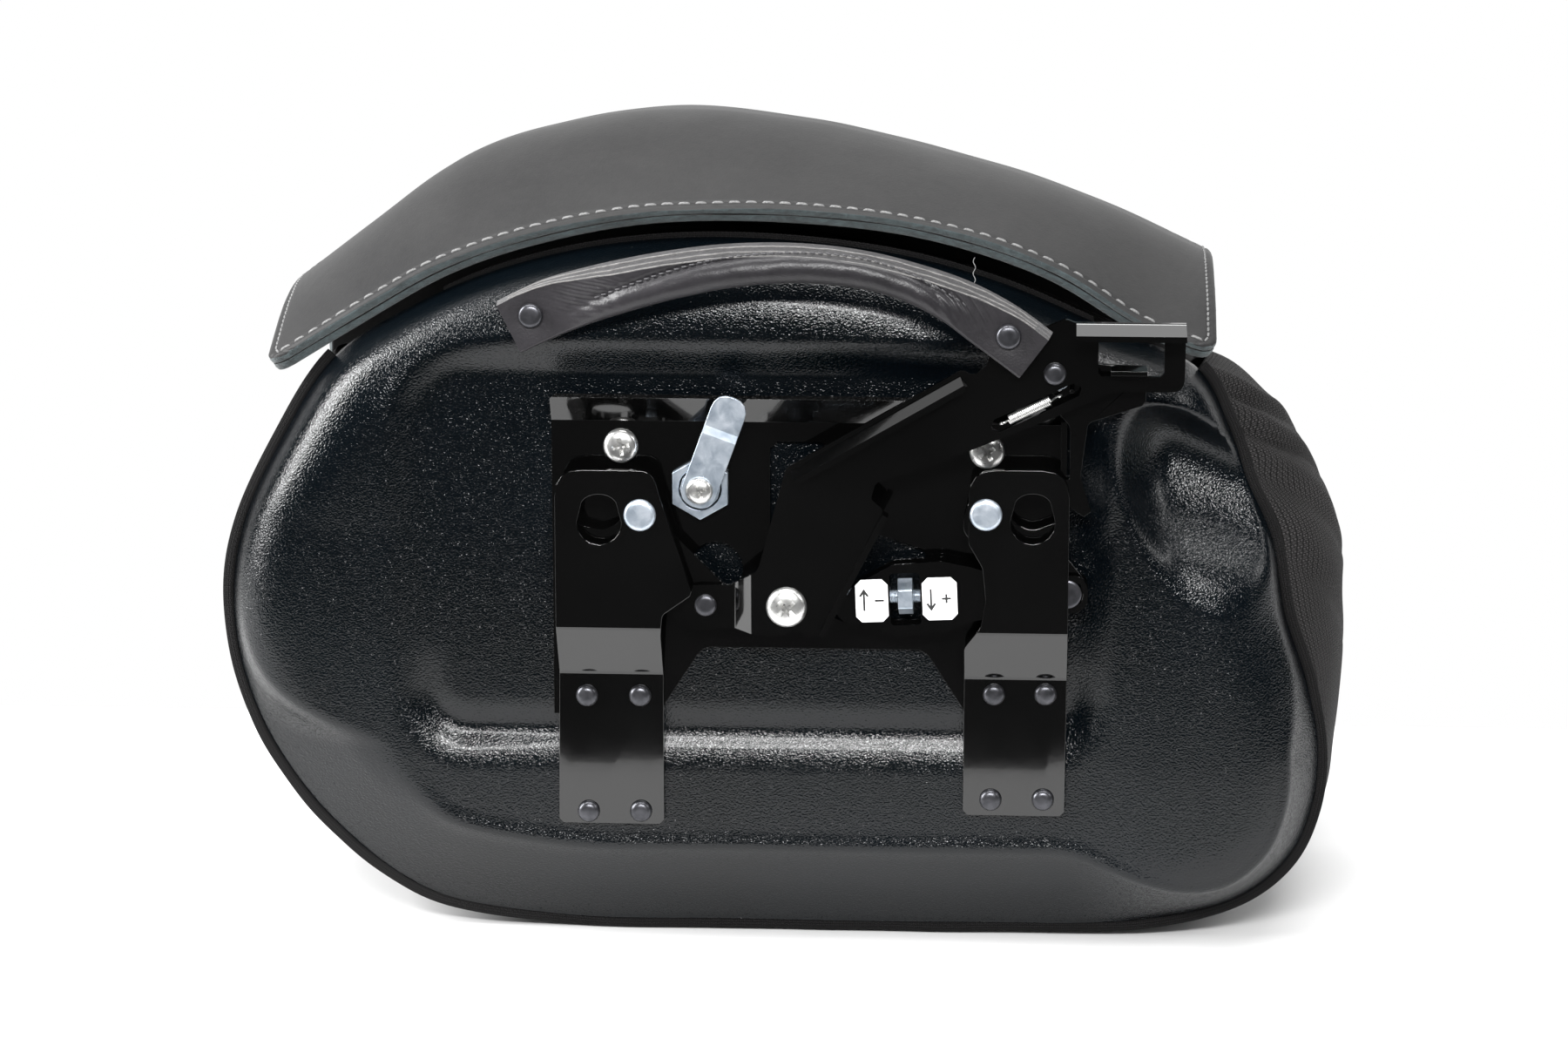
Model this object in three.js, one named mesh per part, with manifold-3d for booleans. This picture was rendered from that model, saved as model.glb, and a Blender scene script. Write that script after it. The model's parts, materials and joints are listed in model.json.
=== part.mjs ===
// A quick-detach motorcycle saddlebag: moulded back shell, nylon gusset, leather lid and grip, and a
// steel docking mechanism with an over-centre lever. Millimetres, +X forward, +Z up, -Y towards the bike.
import * as THREE from 'three';
import { mergeVertices } from 'three/addons/utils/BufferGeometryUtils.js';
import Module from 'manifold-3d';

const wasm = await Module();
wasm.setup();

// ---------- driving dimensions ----------
const BAG_DEPTH = 158; // from the shell's seam plane to the front panel's edge
const GAP = 0.3; // left between pieces that touch
const SHELL_WALL = 3;
const SHELL_DEPTH = 36; // how far the shell's top rim stands out of the seam plane
const LAND_DEPTH = 28.7; // how far its lower land stands out
const RECESS_DEPTH = 26; // the flat floor that carries the base plate
const GUSSET_WALL = 2.5;
const LEATHER = 4; // one layer of the lid
const SHEET = 2.5; // base plate and flanges
const BRACKET_SHEET = 3;
const RIVET_SHANK = 2.4;
const HOLE_ROOM = 0.3; // radial room round a shank

// Levels of the stacked plates, as the Y of each back face; a plate grows towards -Y.
const BASE_PLATE_Y = -26.3;
const BRACKET_LOW_Y = -29.1;
const BRACKET_HIGH_Y = -44;
const JAW_Y = -36;
const LEVER_ARM_Y = -39.3;
const LEVER_Y = -47.6;
const PAWL_Y = -41;
const ROD_Y = -36.4;

// Centres in the mechanism's plane, as [x, z].
const JAW_PIVOT_LEFT = [-59.5, 199.5];
const JAW_PIVOT_RIGHT = [89.8, 201.5];
const LEVER_PIVOT = [-31.5, 159];
const LINK_PIVOT = [4.2, 160.5];
const LINK_END = [125, 166];
const PAWL_PIVOT = [118.6, 264];
const LOCK = [-34.5, 208.5];
const GRIP_LEFT = [-106.3, 285.7];
const GRIP_RIGHT = [98.8, 281];
const PLATE_SCREWS = [[-69.2, 226.5], [89.7, 225.7]];
const BRACKET_RIVETS = {
  left: [[-84.6, 115.3], [-61.2, 115.6], [-84.3, 62.6], [-61.2, 63]],
  right: [[93.8, 118.4], [116.2, 118.8], [92.7, 70.7], [115.6, 71.1]],
};

// ---------- materials ----------
const finish = (color, roughness, metalness) => new THREE.MeshStandardMaterial({ color, roughness,
  metalness });
const shellPlastic = finish(0x0d0f12, 0.25, 0);
const nylon = finish(0x141416, 0.9, 0);
const lidLeather = finish(0x3a3a3d, 0.55, 0);
const gripLeather = finish(0x2b2a2f, 0.5, 0);
const blackSteel = finish(0x0a0a0b, 0.15, 0.2);
const blackRivet = finish(0x303236, 0.3, 0.6);
const zinc = finish(0xb9c0c6, 0.3, 0.9);
const stainless = finish(0xcfcac2, 0.25, 0.95);
const labelWhite = finish(0xf2f2f2, 0.5, 0);

const bag = new THREE.Group();
// The origin lies under the middle of the bag's depth, so the seam plane is half a depth behind it.
bag.position.y = -BAG_DEPTH / 2;

// ---------- geometry helpers ----------
function signedVolume(geometry) {
  const p = geometry.getAttribute('position');
  const index = geometry.getIndex();
  const [a, b, c] = [new THREE.Vector3(), new THREE.Vector3(), new THREE.Vector3()];
  let sum = 0;
  for (let i = 0; i < index.count; i += 3) {
    a.fromBufferAttribute(p, index.getX(i));
    b.fromBufferAttribute(p, index.getX(i + 1));
    c.fromBufferAttribute(p, index.getX(i + 2));
    sum += a.dot(b.cross(c));
  }
  return sum / 6;
}

// Merges shared corners, drops slivers and turns the faces outwards.
function closed(geometry) {
  const bare = geometry.clone();
  bare.deleteAttribute('normal');
  bare.deleteAttribute('uv');
  const merged = mergeVertices(bare, 1e-3);
  const corners = merged.getIndex().array;
  const kept = [];
  for (let i = 0; i < corners.length; i += 3) {
    const [a, b, c] = [corners[i], corners[i + 1], corners[i + 2]];
    if (a !== b && b !== c && c !== a) kept.push(a, b, c);
  }
  merged.setIndex(kept);
  if (signedVolume(merged) < 0) {
    for (let i = 0; i < kept.length; i += 3) [kept[i], kept[i + 1]] = [kept[i + 1], kept[i]];
    merged.setIndex(kept);
  }
  return merged;
}

function solid(geometry) {
  const shape = closed(geometry);
  const vertProperties = new Float32Array(shape.getAttribute('position').array);
  const triVerts = new Uint32Array(shape.getIndex().array);
  return new wasm.Manifold(new wasm.Mesh({ numProp: 3, vertProperties, triVerts }));
}

function geometryOf(manifold) {
  const mesh = manifold.getMesh();
  const geometry = new THREE.BufferGeometry();
  geometry.setAttribute('position', new THREE.BufferAttribute(new Float32Array(mesh.vertProperties), 3));
  geometry.setIndex(new THREE.BufferAttribute(new Uint32Array(mesh.triVerts), 1));
  return geometry;
}

function cut(geometry, ...tools) {
  return geometryOf(tools.reduce((body, tool) => body.subtract(solid(tool)), solid(geometry)));
}

function join(geometry, ...others) {
  return geometryOf(others.reduce((body, other) => body.add(solid(other)), solid(geometry)));
}

function common(geometry, other) {
  return geometryOf(solid(geometry).intersect(solid(other)));
}

function add(name, geometry, material, parent = bag) {
  const mesh = new THREE.Mesh(closed(geometry), material);
  mesh.name = name;
  parent.add(mesh);
  return mesh;
}

const SMALL_RADIUS = 3; // corners up to this are chamfered
// An outline of [x, z] corners; a third number rounds that corner by its radius.
function outline(corners) {
  const shape = new THREE.Shape();
  corners.forEach(([x, z, radius = 0], i) => {
    const here = new THREE.Vector2(x, z);
    const before = new THREE.Vector2(...corners.at(i - 1).slice(0, 2)).sub(here);
    const after = new THREE.Vector2(...corners[(i + 1) % corners.length].slice(0, 2)).sub(here);
    const half = Math.acos(before.dot(after) / before.length() / after.length()) / 2;
    const reach = Math.min(radius / Math.tan(half), before.length() * 0.49, after.length() * 0.49);
    const start = here.clone().addScaledVector(before.normalize(), reach);
    const end = here.clone().addScaledVector(after.normalize(), reach);
    if (i === 0) shape.moveTo(start.x, start.y);
    else shape.lineTo(start.x, start.y);
    if (radius > SMALL_RADIUS) shape.quadraticCurveTo(x, z, end.x, end.y);
    else if (radius > 0) shape.lineTo(end.x, end.y);
  });
  shape.closePath();
  return shape;
}

function roundHole(shape, [x, z], radius) {
  const sides = radius > 5 ? 20 : 8;
  const points = Array.from({ length: sides }, (_, k) => {
    const angle = (k * 2 * Math.PI) / sides;
    return new THREE.Vector2(x + radius * Math.cos(angle), z + radius * Math.sin(angle));
  });
  shape.holes.push(new THREE.Path(points));
  return shape;
}

function polygonHole(shape, corners) {
  shape.holes.push(new THREE.Path(outline(corners).getPoints(3)));
  return shape;
}

// A flat plate from an outline in the XZ plane: back face at yBack, growing towards -Y.
function plate(shape, yBack, thickness, curveSegments = 4) {
  const geometry = new THREE.ExtrudeGeometry(shape, { depth: thickness, bevelEnabled: false,
    curveSegments });
  return geometry.rotateX(Math.PI / 2).translate(0, yBack, 0);
}

// A strip whose [y, z] section runs along X, from x0 to x1.
function alongX(section, x0, x1) {
  const geometry = new THREE.ExtrudeGeometry(outline(section), { depth: x1 - x0, bevelEnabled: false });
  geometry.applyMatrix4(new THREE.Matrix4().set(0, 0, 1, x0, 1, 0, 0, 0, 0, 1, 0, 0, 0, 0, 0, 1));
  return geometry;
}

// A strip whose [x, y] section runs along Z, from z0 to z1.
function alongZ(section, z0, z1) {
  const geometry = new THREE.ExtrudeGeometry(outline(section), { depth: z1 - z0, bevelEnabled: false });
  return geometry.translate(0, 0, z0);
}

// A round piece on an axis along Y: profile of [radius, y], placed at [x, z].
function turned(profile, [x, z], segments = 14) {
  const points = profile.map(([radius, y]) => new THREE.Vector2(radius, y));
  return new THREE.LatheGeometry(points, segments).translate(x, 0, z);
}

function drill([x, z], radius, y0, y1, segments = 8) {
  const geometry = new THREE.CylinderGeometry(radius, radius, y1 - y0, segments);
  return geometry.translate(x, (y0 + y1) / 2, z);
}

// A domed rivet: the head's flat at yFace, the shank running to yTail, with an upset tail.
function rivet(place, yFace, yTail, headRadius, headHeight, tailRadius = 0, segments = 8) {
  const profile = [[0, yFace - headHeight]];
  [0.6, 0.9].forEach((share) => {
    profile.push([headRadius * share, yFace - headHeight * Math.sqrt(1 - share * share)]);
  });
  profile.push([headRadius, yFace], [RIVET_SHANK, yFace]);
  if (tailRadius > 0) {
    profile.push([RIVET_SHANK, yTail - 3], [tailRadius, yTail - 3], [tailRadius, yTail]);
  } else {
    profile.push([RIVET_SHANK, yTail]);
  }
  profile.push([0, yTail]);
  return turned(profile, place, segments);
}

// Skins rows of points into one closed body; every row has the same count and closes on itself.
function loft(rows, capStart, capEnd) {
  const count = rows[0].length;
  const positions = [];
  const index = [];
  rows.forEach((row) => row.forEach((p) => positions.push(p.x, p.y, p.z)));
  for (let r = 0; r + 1 < rows.length; r += 1) {
    for (let c = 0; c < count; c += 1) {
      const d = (c + 1) % count;
      const [a, b] = [r * count + c, r * count + d];
      index.push(a, b, b + count, a, b + count, a + count);
    }
  }
  const cap = (row, middle, flip) => {
    const centre = positions.length / 3;
    positions.push(middle.x, middle.y, middle.z);
    for (let c = 0; c < count; c += 1) {
      const [a, b] = [row * count + c, row * count + ((c + 1) % count)];
      if (flip) index.push(b, a, centre);
      else index.push(a, b, centre);
    }
  };
  cap(0, capStart, true);
  cap(rows.length - 1, capEnd, false);
  const geometry = new THREE.BufferGeometry();
  geometry.setAttribute('position', new THREE.Float32BufferAttribute(positions, 3));
  geometry.setIndex(index);
  return geometry;
}

const middleOf = (row) => row.reduce((sum, p) => sum.add(p), new THREE.Vector3()).divideScalar(row.length);

// A thin sheet between an upper and a lower grid of points, closed round its four edges.
function sheetBody(upper, lower) {
  const [rows, columns] = [upper.length, upper[0].length];
  const positions = [...upper, ...lower].flat().flatMap((p) => [p.x, p.y, p.z]);
  const top = (i, j) => i * columns + j;
  const bottom = (i, j) => (rows + i) * columns + j;
  const index = [];
  for (let i = 0; i + 1 < rows; i += 1) {
    for (let j = 0; j + 1 < columns; j += 1) {
      index.push(top(i, j), top(i + 1, j), top(i + 1, j + 1), top(i, j), top(i + 1, j + 1), top(i, j + 1));
      index.push(bottom(i, j), bottom(i + 1, j + 1), bottom(i + 1, j));
      index.push(bottom(i, j), bottom(i, j + 1), bottom(i + 1, j + 1));
    }
  }
  const wall = (i, j, k, l) => {
    index.push(top(i, j), bottom(i, j), bottom(k, l), top(i, j), bottom(k, l), top(k, l));
  };
  for (let i = 0; i + 1 < rows; i += 1) {
    wall(i, 0, i + 1, 0);
    wall(i + 1, columns - 1, i, columns - 1);
  }
  for (let j = 0; j + 1 < columns; j += 1) {
    wall(0, j + 1, 0, j);
    wall(rows - 1, j, rows - 1, j + 1);
  }
  const geometry = new THREE.BufferGeometry();
  geometry.setAttribute('position', new THREE.Float32BufferAttribute(positions, 3));
  geometry.setIndex(index);
  return geometry;
}

function smoothstep(low, high, value) {
  const t = Math.min(1, Math.max(0, (value - low) / (high - low)));
  return t * t * (3 - 2 * t);
}

// A smooth height curve z(x) through hand-picked knots.
function heightCurve(knots) {
  const curve = new THREE.SplineCurve(knots.map(([x, z]) => new THREE.Vector2(x, z)));
  const samples = curve.getPoints(knots.length * 8);
  return (x) => {
    const last = samples.length - 2;
    let i = samples.findIndex((point) => point.x > x) - 1;
    if (i < 0) i = x < samples[0].x ? 0 : last;
    const [a, b] = [samples[i], samples[i + 1]];
    return a.y + ((b.y - a.y) * (x - a.x)) / (b.x - a.x);
  };
}

// ---------- the bag's outline ----------
// Right mouth corner, down the right side, along the bottom and up the left side.
const SIDE_KNOTS = [
  [181, 258], [195, 233], [204, 208], [215, 183], [221, 150], [231, 120], [237, 90], [235, 62],
  [225, 38], [203, 19], [160, 8], [80, 5.4], [-20, 5.2], [-102, 6], [-162, 17], [-200, 45],
  [-226, 78], [-241, 112], [-246, 150], [-240, 186], [-222, 224], [-198, 260],
];
const TOP_KNOTS = [[-168, 280], [-128, 298], [-80, 310], [-25, 314], [45, 308], [95, 295], [140, 276]];
const STEPS_PER_KNOT = 1;
const edgeCurve = new THREE.CatmullRomCurve3(
  [...SIDE_KNOTS, ...TOP_KNOTS].map(([x, z]) => new THREE.Vector3(x, 0, z)), true, 'centripetal');
const RING_COUNT = (SIDE_KNOTS.length + TOP_KNOTS.length) * STEPS_PER_KNOT;
const SIDE_COUNT = (SIDE_KNOTS.length - 1) * STEPS_PER_KNOT + 1;
const edgeRing = Array.from({ length: RING_COUNT }, (_, i) => edgeCurve.getPoint(i / RING_COUNT));
const outward = Array.from({ length: RING_COUNT }, (_, i) => {
  const tangent = edgeCurve.getTangent(i / RING_COUNT);
  return new THREE.Vector3(tangent.z, 0, -tangent.x).multiplyScalar(-1);
});
if (outward[0].x < 0) outward.forEach((normal) => normal.multiplyScalar(-1));

const CENTRE = new THREE.Vector3(-5, 0, 155);
// The edge ring pulled in by an inset that is constant all round, at the depth y.
function insetRing(inset, depthOf) {
  return edgeRing.map((p, i) => {
    const q = p.clone().addScaledVector(outward[i], -inset);
    return q.setY(depthOf(q));
  });
}

// ---------- back shell ----------
const plateauDepth = (z) => LAND_DEPTH + (SHELL_DEPTH - LAND_DEPTH) * smoothstep(110, 190, z);
const WALL_STEPS = [[0, 0], [1.5, 0.3], [5, 0.58], [12, 0.8], [23, 0.94], [36, 1]];
const RECESS = { x0: -163, x1: 137, z0: 91, z1: 265 };

// A rounded rectangle hit by the rays from the centre to the edge ring's points.
function recessRing(grow, y) {
  const { x0, x1, z0, z1 } = RECESS;
  const middle = new THREE.Vector3((x0 + x1) / 2, 0, (z0 + z1) / 2);
  const [halfX, halfZ] = [(x1 - x0) / 2 + grow, (z1 - z0) / 2 + grow];
  const power = 9; // a superellipse this sharp has rounded corners
  return edgeRing.map((p) => {
    const ray = p.clone().sub(CENTRE).setY(0);
    const reach = (Math.abs(ray.x / halfX) ** power + Math.abs(ray.z / halfZ) ** power) ** (-1 / power);
    const q = middle.clone().addScaledVector(ray, reach);
    return q.setY(typeof y === 'function' ? y(q) : y);
  });
}

function shellRows(wall) {
  const rows = WALL_STEPS.map(([inset, share]) => {
    const depthOf = (q) => -share * plateauDepth(q.z) + (share > 0 ? wall : 0);
    return insetRing(inset + (share > 0.9 ? 0 : wall), depthOf);
  });
  rows.push(recessRing(7, (q) => -plateauDepth(q.z) + wall));
  rows.push(recessRing(0, -RECESS_DEPTH + wall));
  return rows;
}

const rivetHole = (place) => drill(place, RIVET_SHANK + HOLE_ROOM, -70, 10, 8);
const LOCK_HOLE = 9.4;
function backShell() {
  const outer = shellRows(0).reverse();
  const inner = shellRows(SHELL_WALL);
  const middle = new THREE.Vector3(-17, -RECESS_DEPTH, 177);
  const raw = loft([...outer, ...inner], middle, middle.clone().setY(SHELL_WALL - RECESS_DEPTH));
  const holes = [...BRACKET_RIVETS.left, ...BRACKET_RIVETS.right, ...PLATE_SCREWS,
    GRIP_LEFT].map(rivetHole);
  return cut(raw, ...holes, drill(LOCK, LOCK_HOLE, -60, 10, 14));
}
add('back_shell', backShell(), shellPlastic);

// ---------- gusset, front panel, piping, bottom plate ----------
const MOUTH_DROP = 22; // the mouth falls by this much from the shell to the front panel
const frontPoint = (p) => new THREE.Vector3(p.x * 1.015, 0, p.z - MOUTH_DROP * smoothstep(140, 258, p.z));

// How far the fabric stands out sideways, deepest a third of the way to the front.
function bulge(p, share) {
  const rightSide = 9 * smoothstep(150, 200, p.x) + 21 * smoothstep(175, 205, p.x) * smoothstep(85,
    170, p.z);
  const leftSide = 7 * smoothstep(-170, -220, p.x);
  return (rightSide + leftSide) * Math.sin(Math.PI * share ** 0.65) ** 1.2;
}

const GUSSET_END = BAG_DEPTH - 4.5;
const GUSSET_SHARES = [0, 0.06, 0.16, 0.32, 0.5, 0.72, 0.88, 1];
function gussetGrid(inward) {
  return edgeRing.slice(0, SIDE_COUNT).map((p, i) => GUSSET_SHARES.map((share) => {
    const base = p.clone().lerp(frontPoint(p), share);
    base.addScaledVector(outward[i], bulge(p, share) - inward);
    return base.setY(0.5 + (GUSSET_END - 0.5) * share);
  }));
}
add('gusset', sheetBody(gussetGrid(0), gussetGrid(GUSSET_WALL)), nylon);

function frontPanel() {
  const ring = (scale, y) => edgeRing.map((p) => {
    const q = frontPoint(p).sub(CENTRE).multiplyScalar(scale).add(CENTRE);
    return q.setY(y);
  });
  const back = BAG_DEPTH - 4;
  const rows = [ring(0.5, back), ring(1, back), ring(1, BAG_DEPTH)];
  rows.push(ring(0.9, BAG_DEPTH + 3), ring(0.6, BAG_DEPTH + 5));
  const middle = CENTRE.clone();
  return loft(rows, middle.clone().setY(back), middle.setY(BAG_DEPTH + 5.5));
}
add('front_panel', frontPanel(), lidLeather);

const PIPING_RADIUS = 2.5;
function piping(pointOf, y) {
  const rows = edgeRing.slice(0, SIDE_COUNT).map((p, i) => {
    const centre = pointOf(p).addScaledVector(outward[i], PIPING_RADIUS + 0.6).setY(y);
    return Array.from({ length: 6 }, (_, k) => {
      const angle = (k * Math.PI) / 3;
      const q = centre.clone().addScaledVector(outward[i], PIPING_RADIUS * Math.cos(angle));
      return q.setY(y + PIPING_RADIUS * Math.sin(angle));
    });
  });
  return loft(rows, middleOf(rows[0]), middleOf(rows.at(-1)));
}
add('back_piping', piping((p) => p.clone(), -PIPING_RADIUS - 0.2), nylon);
add('front_piping', piping(frontPoint, BAG_DEPTH - 1.6), nylon);

const BOTTOM_PLATE = { x0: -100, x1: 160, y0: 9, y1: 149, height: 3.8 };
function bottomPlate() {
  const { x0, x1, y0, y1, height } = BOTTOM_PLATE;
  const shape = outline([[x0, y0, 18], [x1, y0, 18], [x1, y1, 18], [x0, y1, 18]]);
  return new THREE.ExtrudeGeometry(shape, { depth: height, bevelEnabled: false, curveSegments: 4 });
}
add('bottom_plate', bottomPlate(), shellPlastic);

// ---------- lid ----------
const LID = { x0: -228, x1: 189, rearY: -9, ridgeY: 75, flapY: 175 };
const ridgeZ = heightCurve([
  [-228, 281], [-193, 308], [-145, 341], [-97, 356], [-50, 361], [12, 355], [74, 341], [137, 320],
  [189, 297]]);
const rearZ = heightCurve([
  [-228, 257.5], [-184, 284], [-152, 302], [-113, 316], [-57, 327], [17, 327.5], [69, 320.5], [121, 303],
  [158, 280], [189, 268]]);
const FLAP_MIDDLE = -20;
const flapBottomZ = (x) => 176 - 16 * (1 - ((x - FLAP_MIDDLE) / 209) ** 2);
// From the ridge over the shoulder to the hanging flap, as [y, fall below the ridge].
const shoulder = heightCurve([[75, 0], [105, 2.5], [132, 10], [152, 23], [166, 42], [172.5, 62]]);

function lidPoint(x, v) {
  if (v <= 1) {
    const y = LID.rearY + (LID.ridgeY - LID.rearY) * v;
    return new THREE.Vector3(x, y, rearZ(x) + (ridgeZ(x) - rearZ(x)) * Math.sin((v * Math.PI) / 2));
  }
  if (v <= 2) {
    const y = LID.ridgeY + (172.5 - LID.ridgeY) * Math.sin(((v - 1) * Math.PI) / 2);
    return new THREE.Vector3(x, y, ridgeZ(x) - shoulder(y));
  }
  const top = ridgeZ(x) - 62;
  const y = 172.5 + (LID.flapY - 172.5) * (v - 2);
  return new THREE.Vector3(x, y, top + (flapBottomZ(x) - top) * (v - 2));
}

// The lid's sheet at a depth below its top surface, measured along the surface's normal.
const LID_STATIONS = [0, 0.3, 0.6, 1, 1.35, 1.6, 1.8, 2, 2.5, 3];
const LID_COLUMNS = 12;
function lidGrid(depth) {
  return Array.from({ length: LID_COLUMNS + 1 }, (_, i) => {
    const x = LID.x0 + ((LID.x1 - LID.x0) * i) / LID_COLUMNS;
    return LID_STATIONS.map((v) => {
      const [low, high] = [Math.max(0, v - 0.02), Math.min(3, v + 0.02)];
      const alongY = lidPoint(x, high).sub(lidPoint(x, low));
      const normal = new THREE.Vector3(0, alongY.z, -alongY.y).normalize();
      return lidPoint(x, v).addScaledVector(normal, depth);
    });
  });
}
add('lid_leather', sheetBody(lidGrid(0), lidGrid(LEATHER)), lidLeather);
const LINING_GAP = 1.4; // the two layers' facets are not quite parallel
add('lid_lining', sheetBody(lidGrid(LEATHER + LINING_GAP), lidGrid(LEATHER * 2)), lidLeather);

// Woven strip that joins the shell's top edge to the lid's underside.
function hingeStrip() {
  const [x0, x1, columns] = [-150, 135, 8];
  const topOfShell = heightCurve(TOP_KNOTS);
  const line = (y) => Array.from({ length: columns + 1 }, (_, i) => {
    const x = x0 + ((x1 - x0) * i) / columns;
    return [topOfShell(x) - 9, topOfShell(x) + 1.5].map((z) => new THREE.Vector3(x, y, z));
  });
  return sheetBody(line(4), line(5.2));
}
add('hinge_strip', hingeStrip(), nylon);

// ---------- closure straps on the flap ----------
const STRAPS = { left: -95, right: 58 };
const STRAP_WIDTH = 26;
const STUD_Z = 122;
for (const [side, x] of Object.entries(STRAPS)) {
  const top = ridgeZ(x) - 78;
  const back = [[175.6, top], [175.9, 162], [171, 140], [170.4, 104]];
  const front = back.slice().reverse().map(([y, z]) => [y + 3, z]);
  add(`lid_strap_${side}`, alongX([...back, ...front],
    x - STRAP_WIDTH / 2, x + STRAP_WIDTH / 2), lidLeather);
  const frame = outline([[x - 17, 170, 4], [x + 17, 170, 4], [x + 17, 196, 4], [x - 17, 196, 4]]);
  polygonHole(frame, [[x - 13.5, 173.5, 2], [x + 13.5, 173.5, 2], [x + 13.5, 192.5, 2],
    [x - 13.5, 192.5, 2]]);
  add(`strap_buckle_${side}`, plate(frame, 182.4, 3), zinc);
  const stud = [[0, 164], [7, 164], [7, 165.2], [3, 165.8], [4.4, 168.4], [0, 169.9]];
  add(`strap_stud_${side}`, turned(stud, [x, STUD_Z], 8), zinc);
}

// ---------- base plate ----------
const WINDOW = [[-4.3, 229, 3], [20, 229, 3], [30, 193, 3], [64, 181.5, 3], [64, 149, 3], [28, 149, 3],
  [-4.3, 162, 3]];
const LATCH_TAB = { x0: 121.6, x1: 124.1, z0: 217.4, z1: 241, reach: -40.2 };
function basePlate() {
  const shape = outline([
    [-99.5, 106], [-54, 106, 2], [-34, 137, 8], [63.5, 137, 8], [82, 108, 2], [124.1, 108],
    [124.1, 239.5], [106, 251, 3], [-99.5, 251, 3],
  ]);
  roundHole(shape, [-27.9, 172.5], 11.9);
  roundHole(shape, LOCK, LOCK_HOLE);
  [...BRACKET_RIVETS.left.slice(0, 2), ...BRACKET_RIVETS.right.slice(0, 2),
  ...PLATE_SCREWS].forEach((place) => {
    roundHole(shape, place, RIVET_SHANK + HOLE_ROOM);
  });
  polygonHole(shape, WINDOW);
  const [back, front] = [BASE_PLATE_Y, BASE_PLATE_Y - SHEET];
  const section = [[back, 104], [back, 238.5], [back - 7.5, 250], [front - 7, 248.8], [front, 237.5],
    [front, 104]];
  const sheet = common(plate(shape, -20, 30), alongX(section, -101, 126));
  const tab = new THREE.BoxGeometry(SHEET, front - 0.3 - LATCH_TAB.reach, LATCH_TAB.z1 - LATCH_TAB.z0);
  tab.translate(LATCH_TAB.x1 - SHEET / 2, (front - 0.3 + LATCH_TAB.reach) / 2 + 0.4, 0);
  tab.translate(0, 0, (LATCH_TAB.z0 + LATCH_TAB.z1) / 2);
  return join(sheet, tab);
}
add('base_plate', basePlate(), blackSteel);

// ---------- brackets with the docking holes ----------
const DOCK_HOLE = { halfWidth: 9.75, low: -11, high: 11.3, narrow: 5 };
function dockHole([x, z]) {
  const { halfWidth, low, high, narrow } = DOCK_HOLE;
  const path = new THREE.Path();
  path.absarc(x, z - 1.2, halfWidth, Math.PI, 0);
  path.lineTo(x + narrow + 2.4, z + high - 3.4);
  path.quadraticCurveTo(x + narrow, z + high, x, z + high);
  path.quadraticCurveTo(x - narrow, z + high, x - narrow - 2.4, z + high - 3.4);
  path.closePath();
  return path;
}
const DOCKS = { left: [-77.3, 197], right: [109.9, 199.5] };
const JOGGLE = { high: 149.5, low: 126.5 };

function bracket(corners, dock, pivot, rivets) {
  const shape = outline(corners);
  shape.holes.push(dockHole(dock));
  [pivot, ...rivets].forEach((place) => roundHole(shape, place, RIVET_SHANK + HOLE_ROOM));
  const [high, low] = [BRACKET_HIGH_Y, BRACKET_LOW_Y];
  const section = [
    [high, 230], [high, JOGGLE.high + 0.6, 2], [low, JOGGLE.low + 0.6, 2], [low, 40],
    [low - BRACKET_SHEET, 40], [low - BRACKET_SHEET, JOGGLE.low - 0.8, 3],
    [high - BRACKET_SHEET, JOGGLE.high - 0.8, 3],
    [high - BRACKET_SHEET, 230],
  ];
  return common(plate(shape, -20, 40), alongX(section, -110, 140));
}
const LEFT_BRACKET = [
  [-97.5, 57, 2], [-51, 57, 2], [-51, 145], [-50.1, 155, 2], [-36.8, 164.5, 2], [-50.9, 207, 8],
  [-54, 219, 9], [-96.5, 219, 12], [-96.5, 145],
];
const RIGHT_BRACKET = [
  [80.6, 63.5, 2], [125, 63.5, 2], [125.5, 145], [125.5, 221, 12], [82.4, 221, 12], [82.4, 188.5, 4],
  [88.5, 178, 8], [90, 164, 8], [88.1, 152, 4], [80.8, 141, 3],
];
add('bracket_left', bracket(LEFT_BRACKET, DOCKS.left, JAW_PIVOT_LEFT, BRACKET_RIVETS.left), blackSteel);
add('bracket_right', bracket(RIGHT_BRACKET, DOCKS.right, JAW_PIVOT_RIGHT, BRACKET_RIVETS.right),
  blackSteel);

// Inner steel plate that spreads the load of the rivets, screws and lock over the shell.
const BACKING_Y = SHELL_WALL - RECESS_DEPTH + GAP;
const BACKING_SHEET = 2;
const CLINCH = BACKING_Y + BACKING_SHEET + GAP; // where tails spread behind the backing plate
function backingPlate() {
  const shape = outline([[-97, 107, 5], [122, 107, 5], [122, 240, 5], [-97, 240, 5]]);
  [...BRACKET_RIVETS.left.slice(0, 2), ...BRACKET_RIVETS.right.slice(0, 2),
  ...PLATE_SCREWS].forEach((place) => {
    roundHole(shape, place, RIVET_SHANK + HOLE_ROOM);
  });
  roundHole(shape, LOCK, LOCK_HOLE);
  polygonHole(shape, [[-20, 130, 5], [60, 130, 5], [60, 190, 5], [-20, 190, 5]]);
  return plate(shape, BACKING_Y + BACKING_SHEET, BACKING_SHEET);
}
add('backing_plate', backingPlate(), blackSteel);

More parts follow.
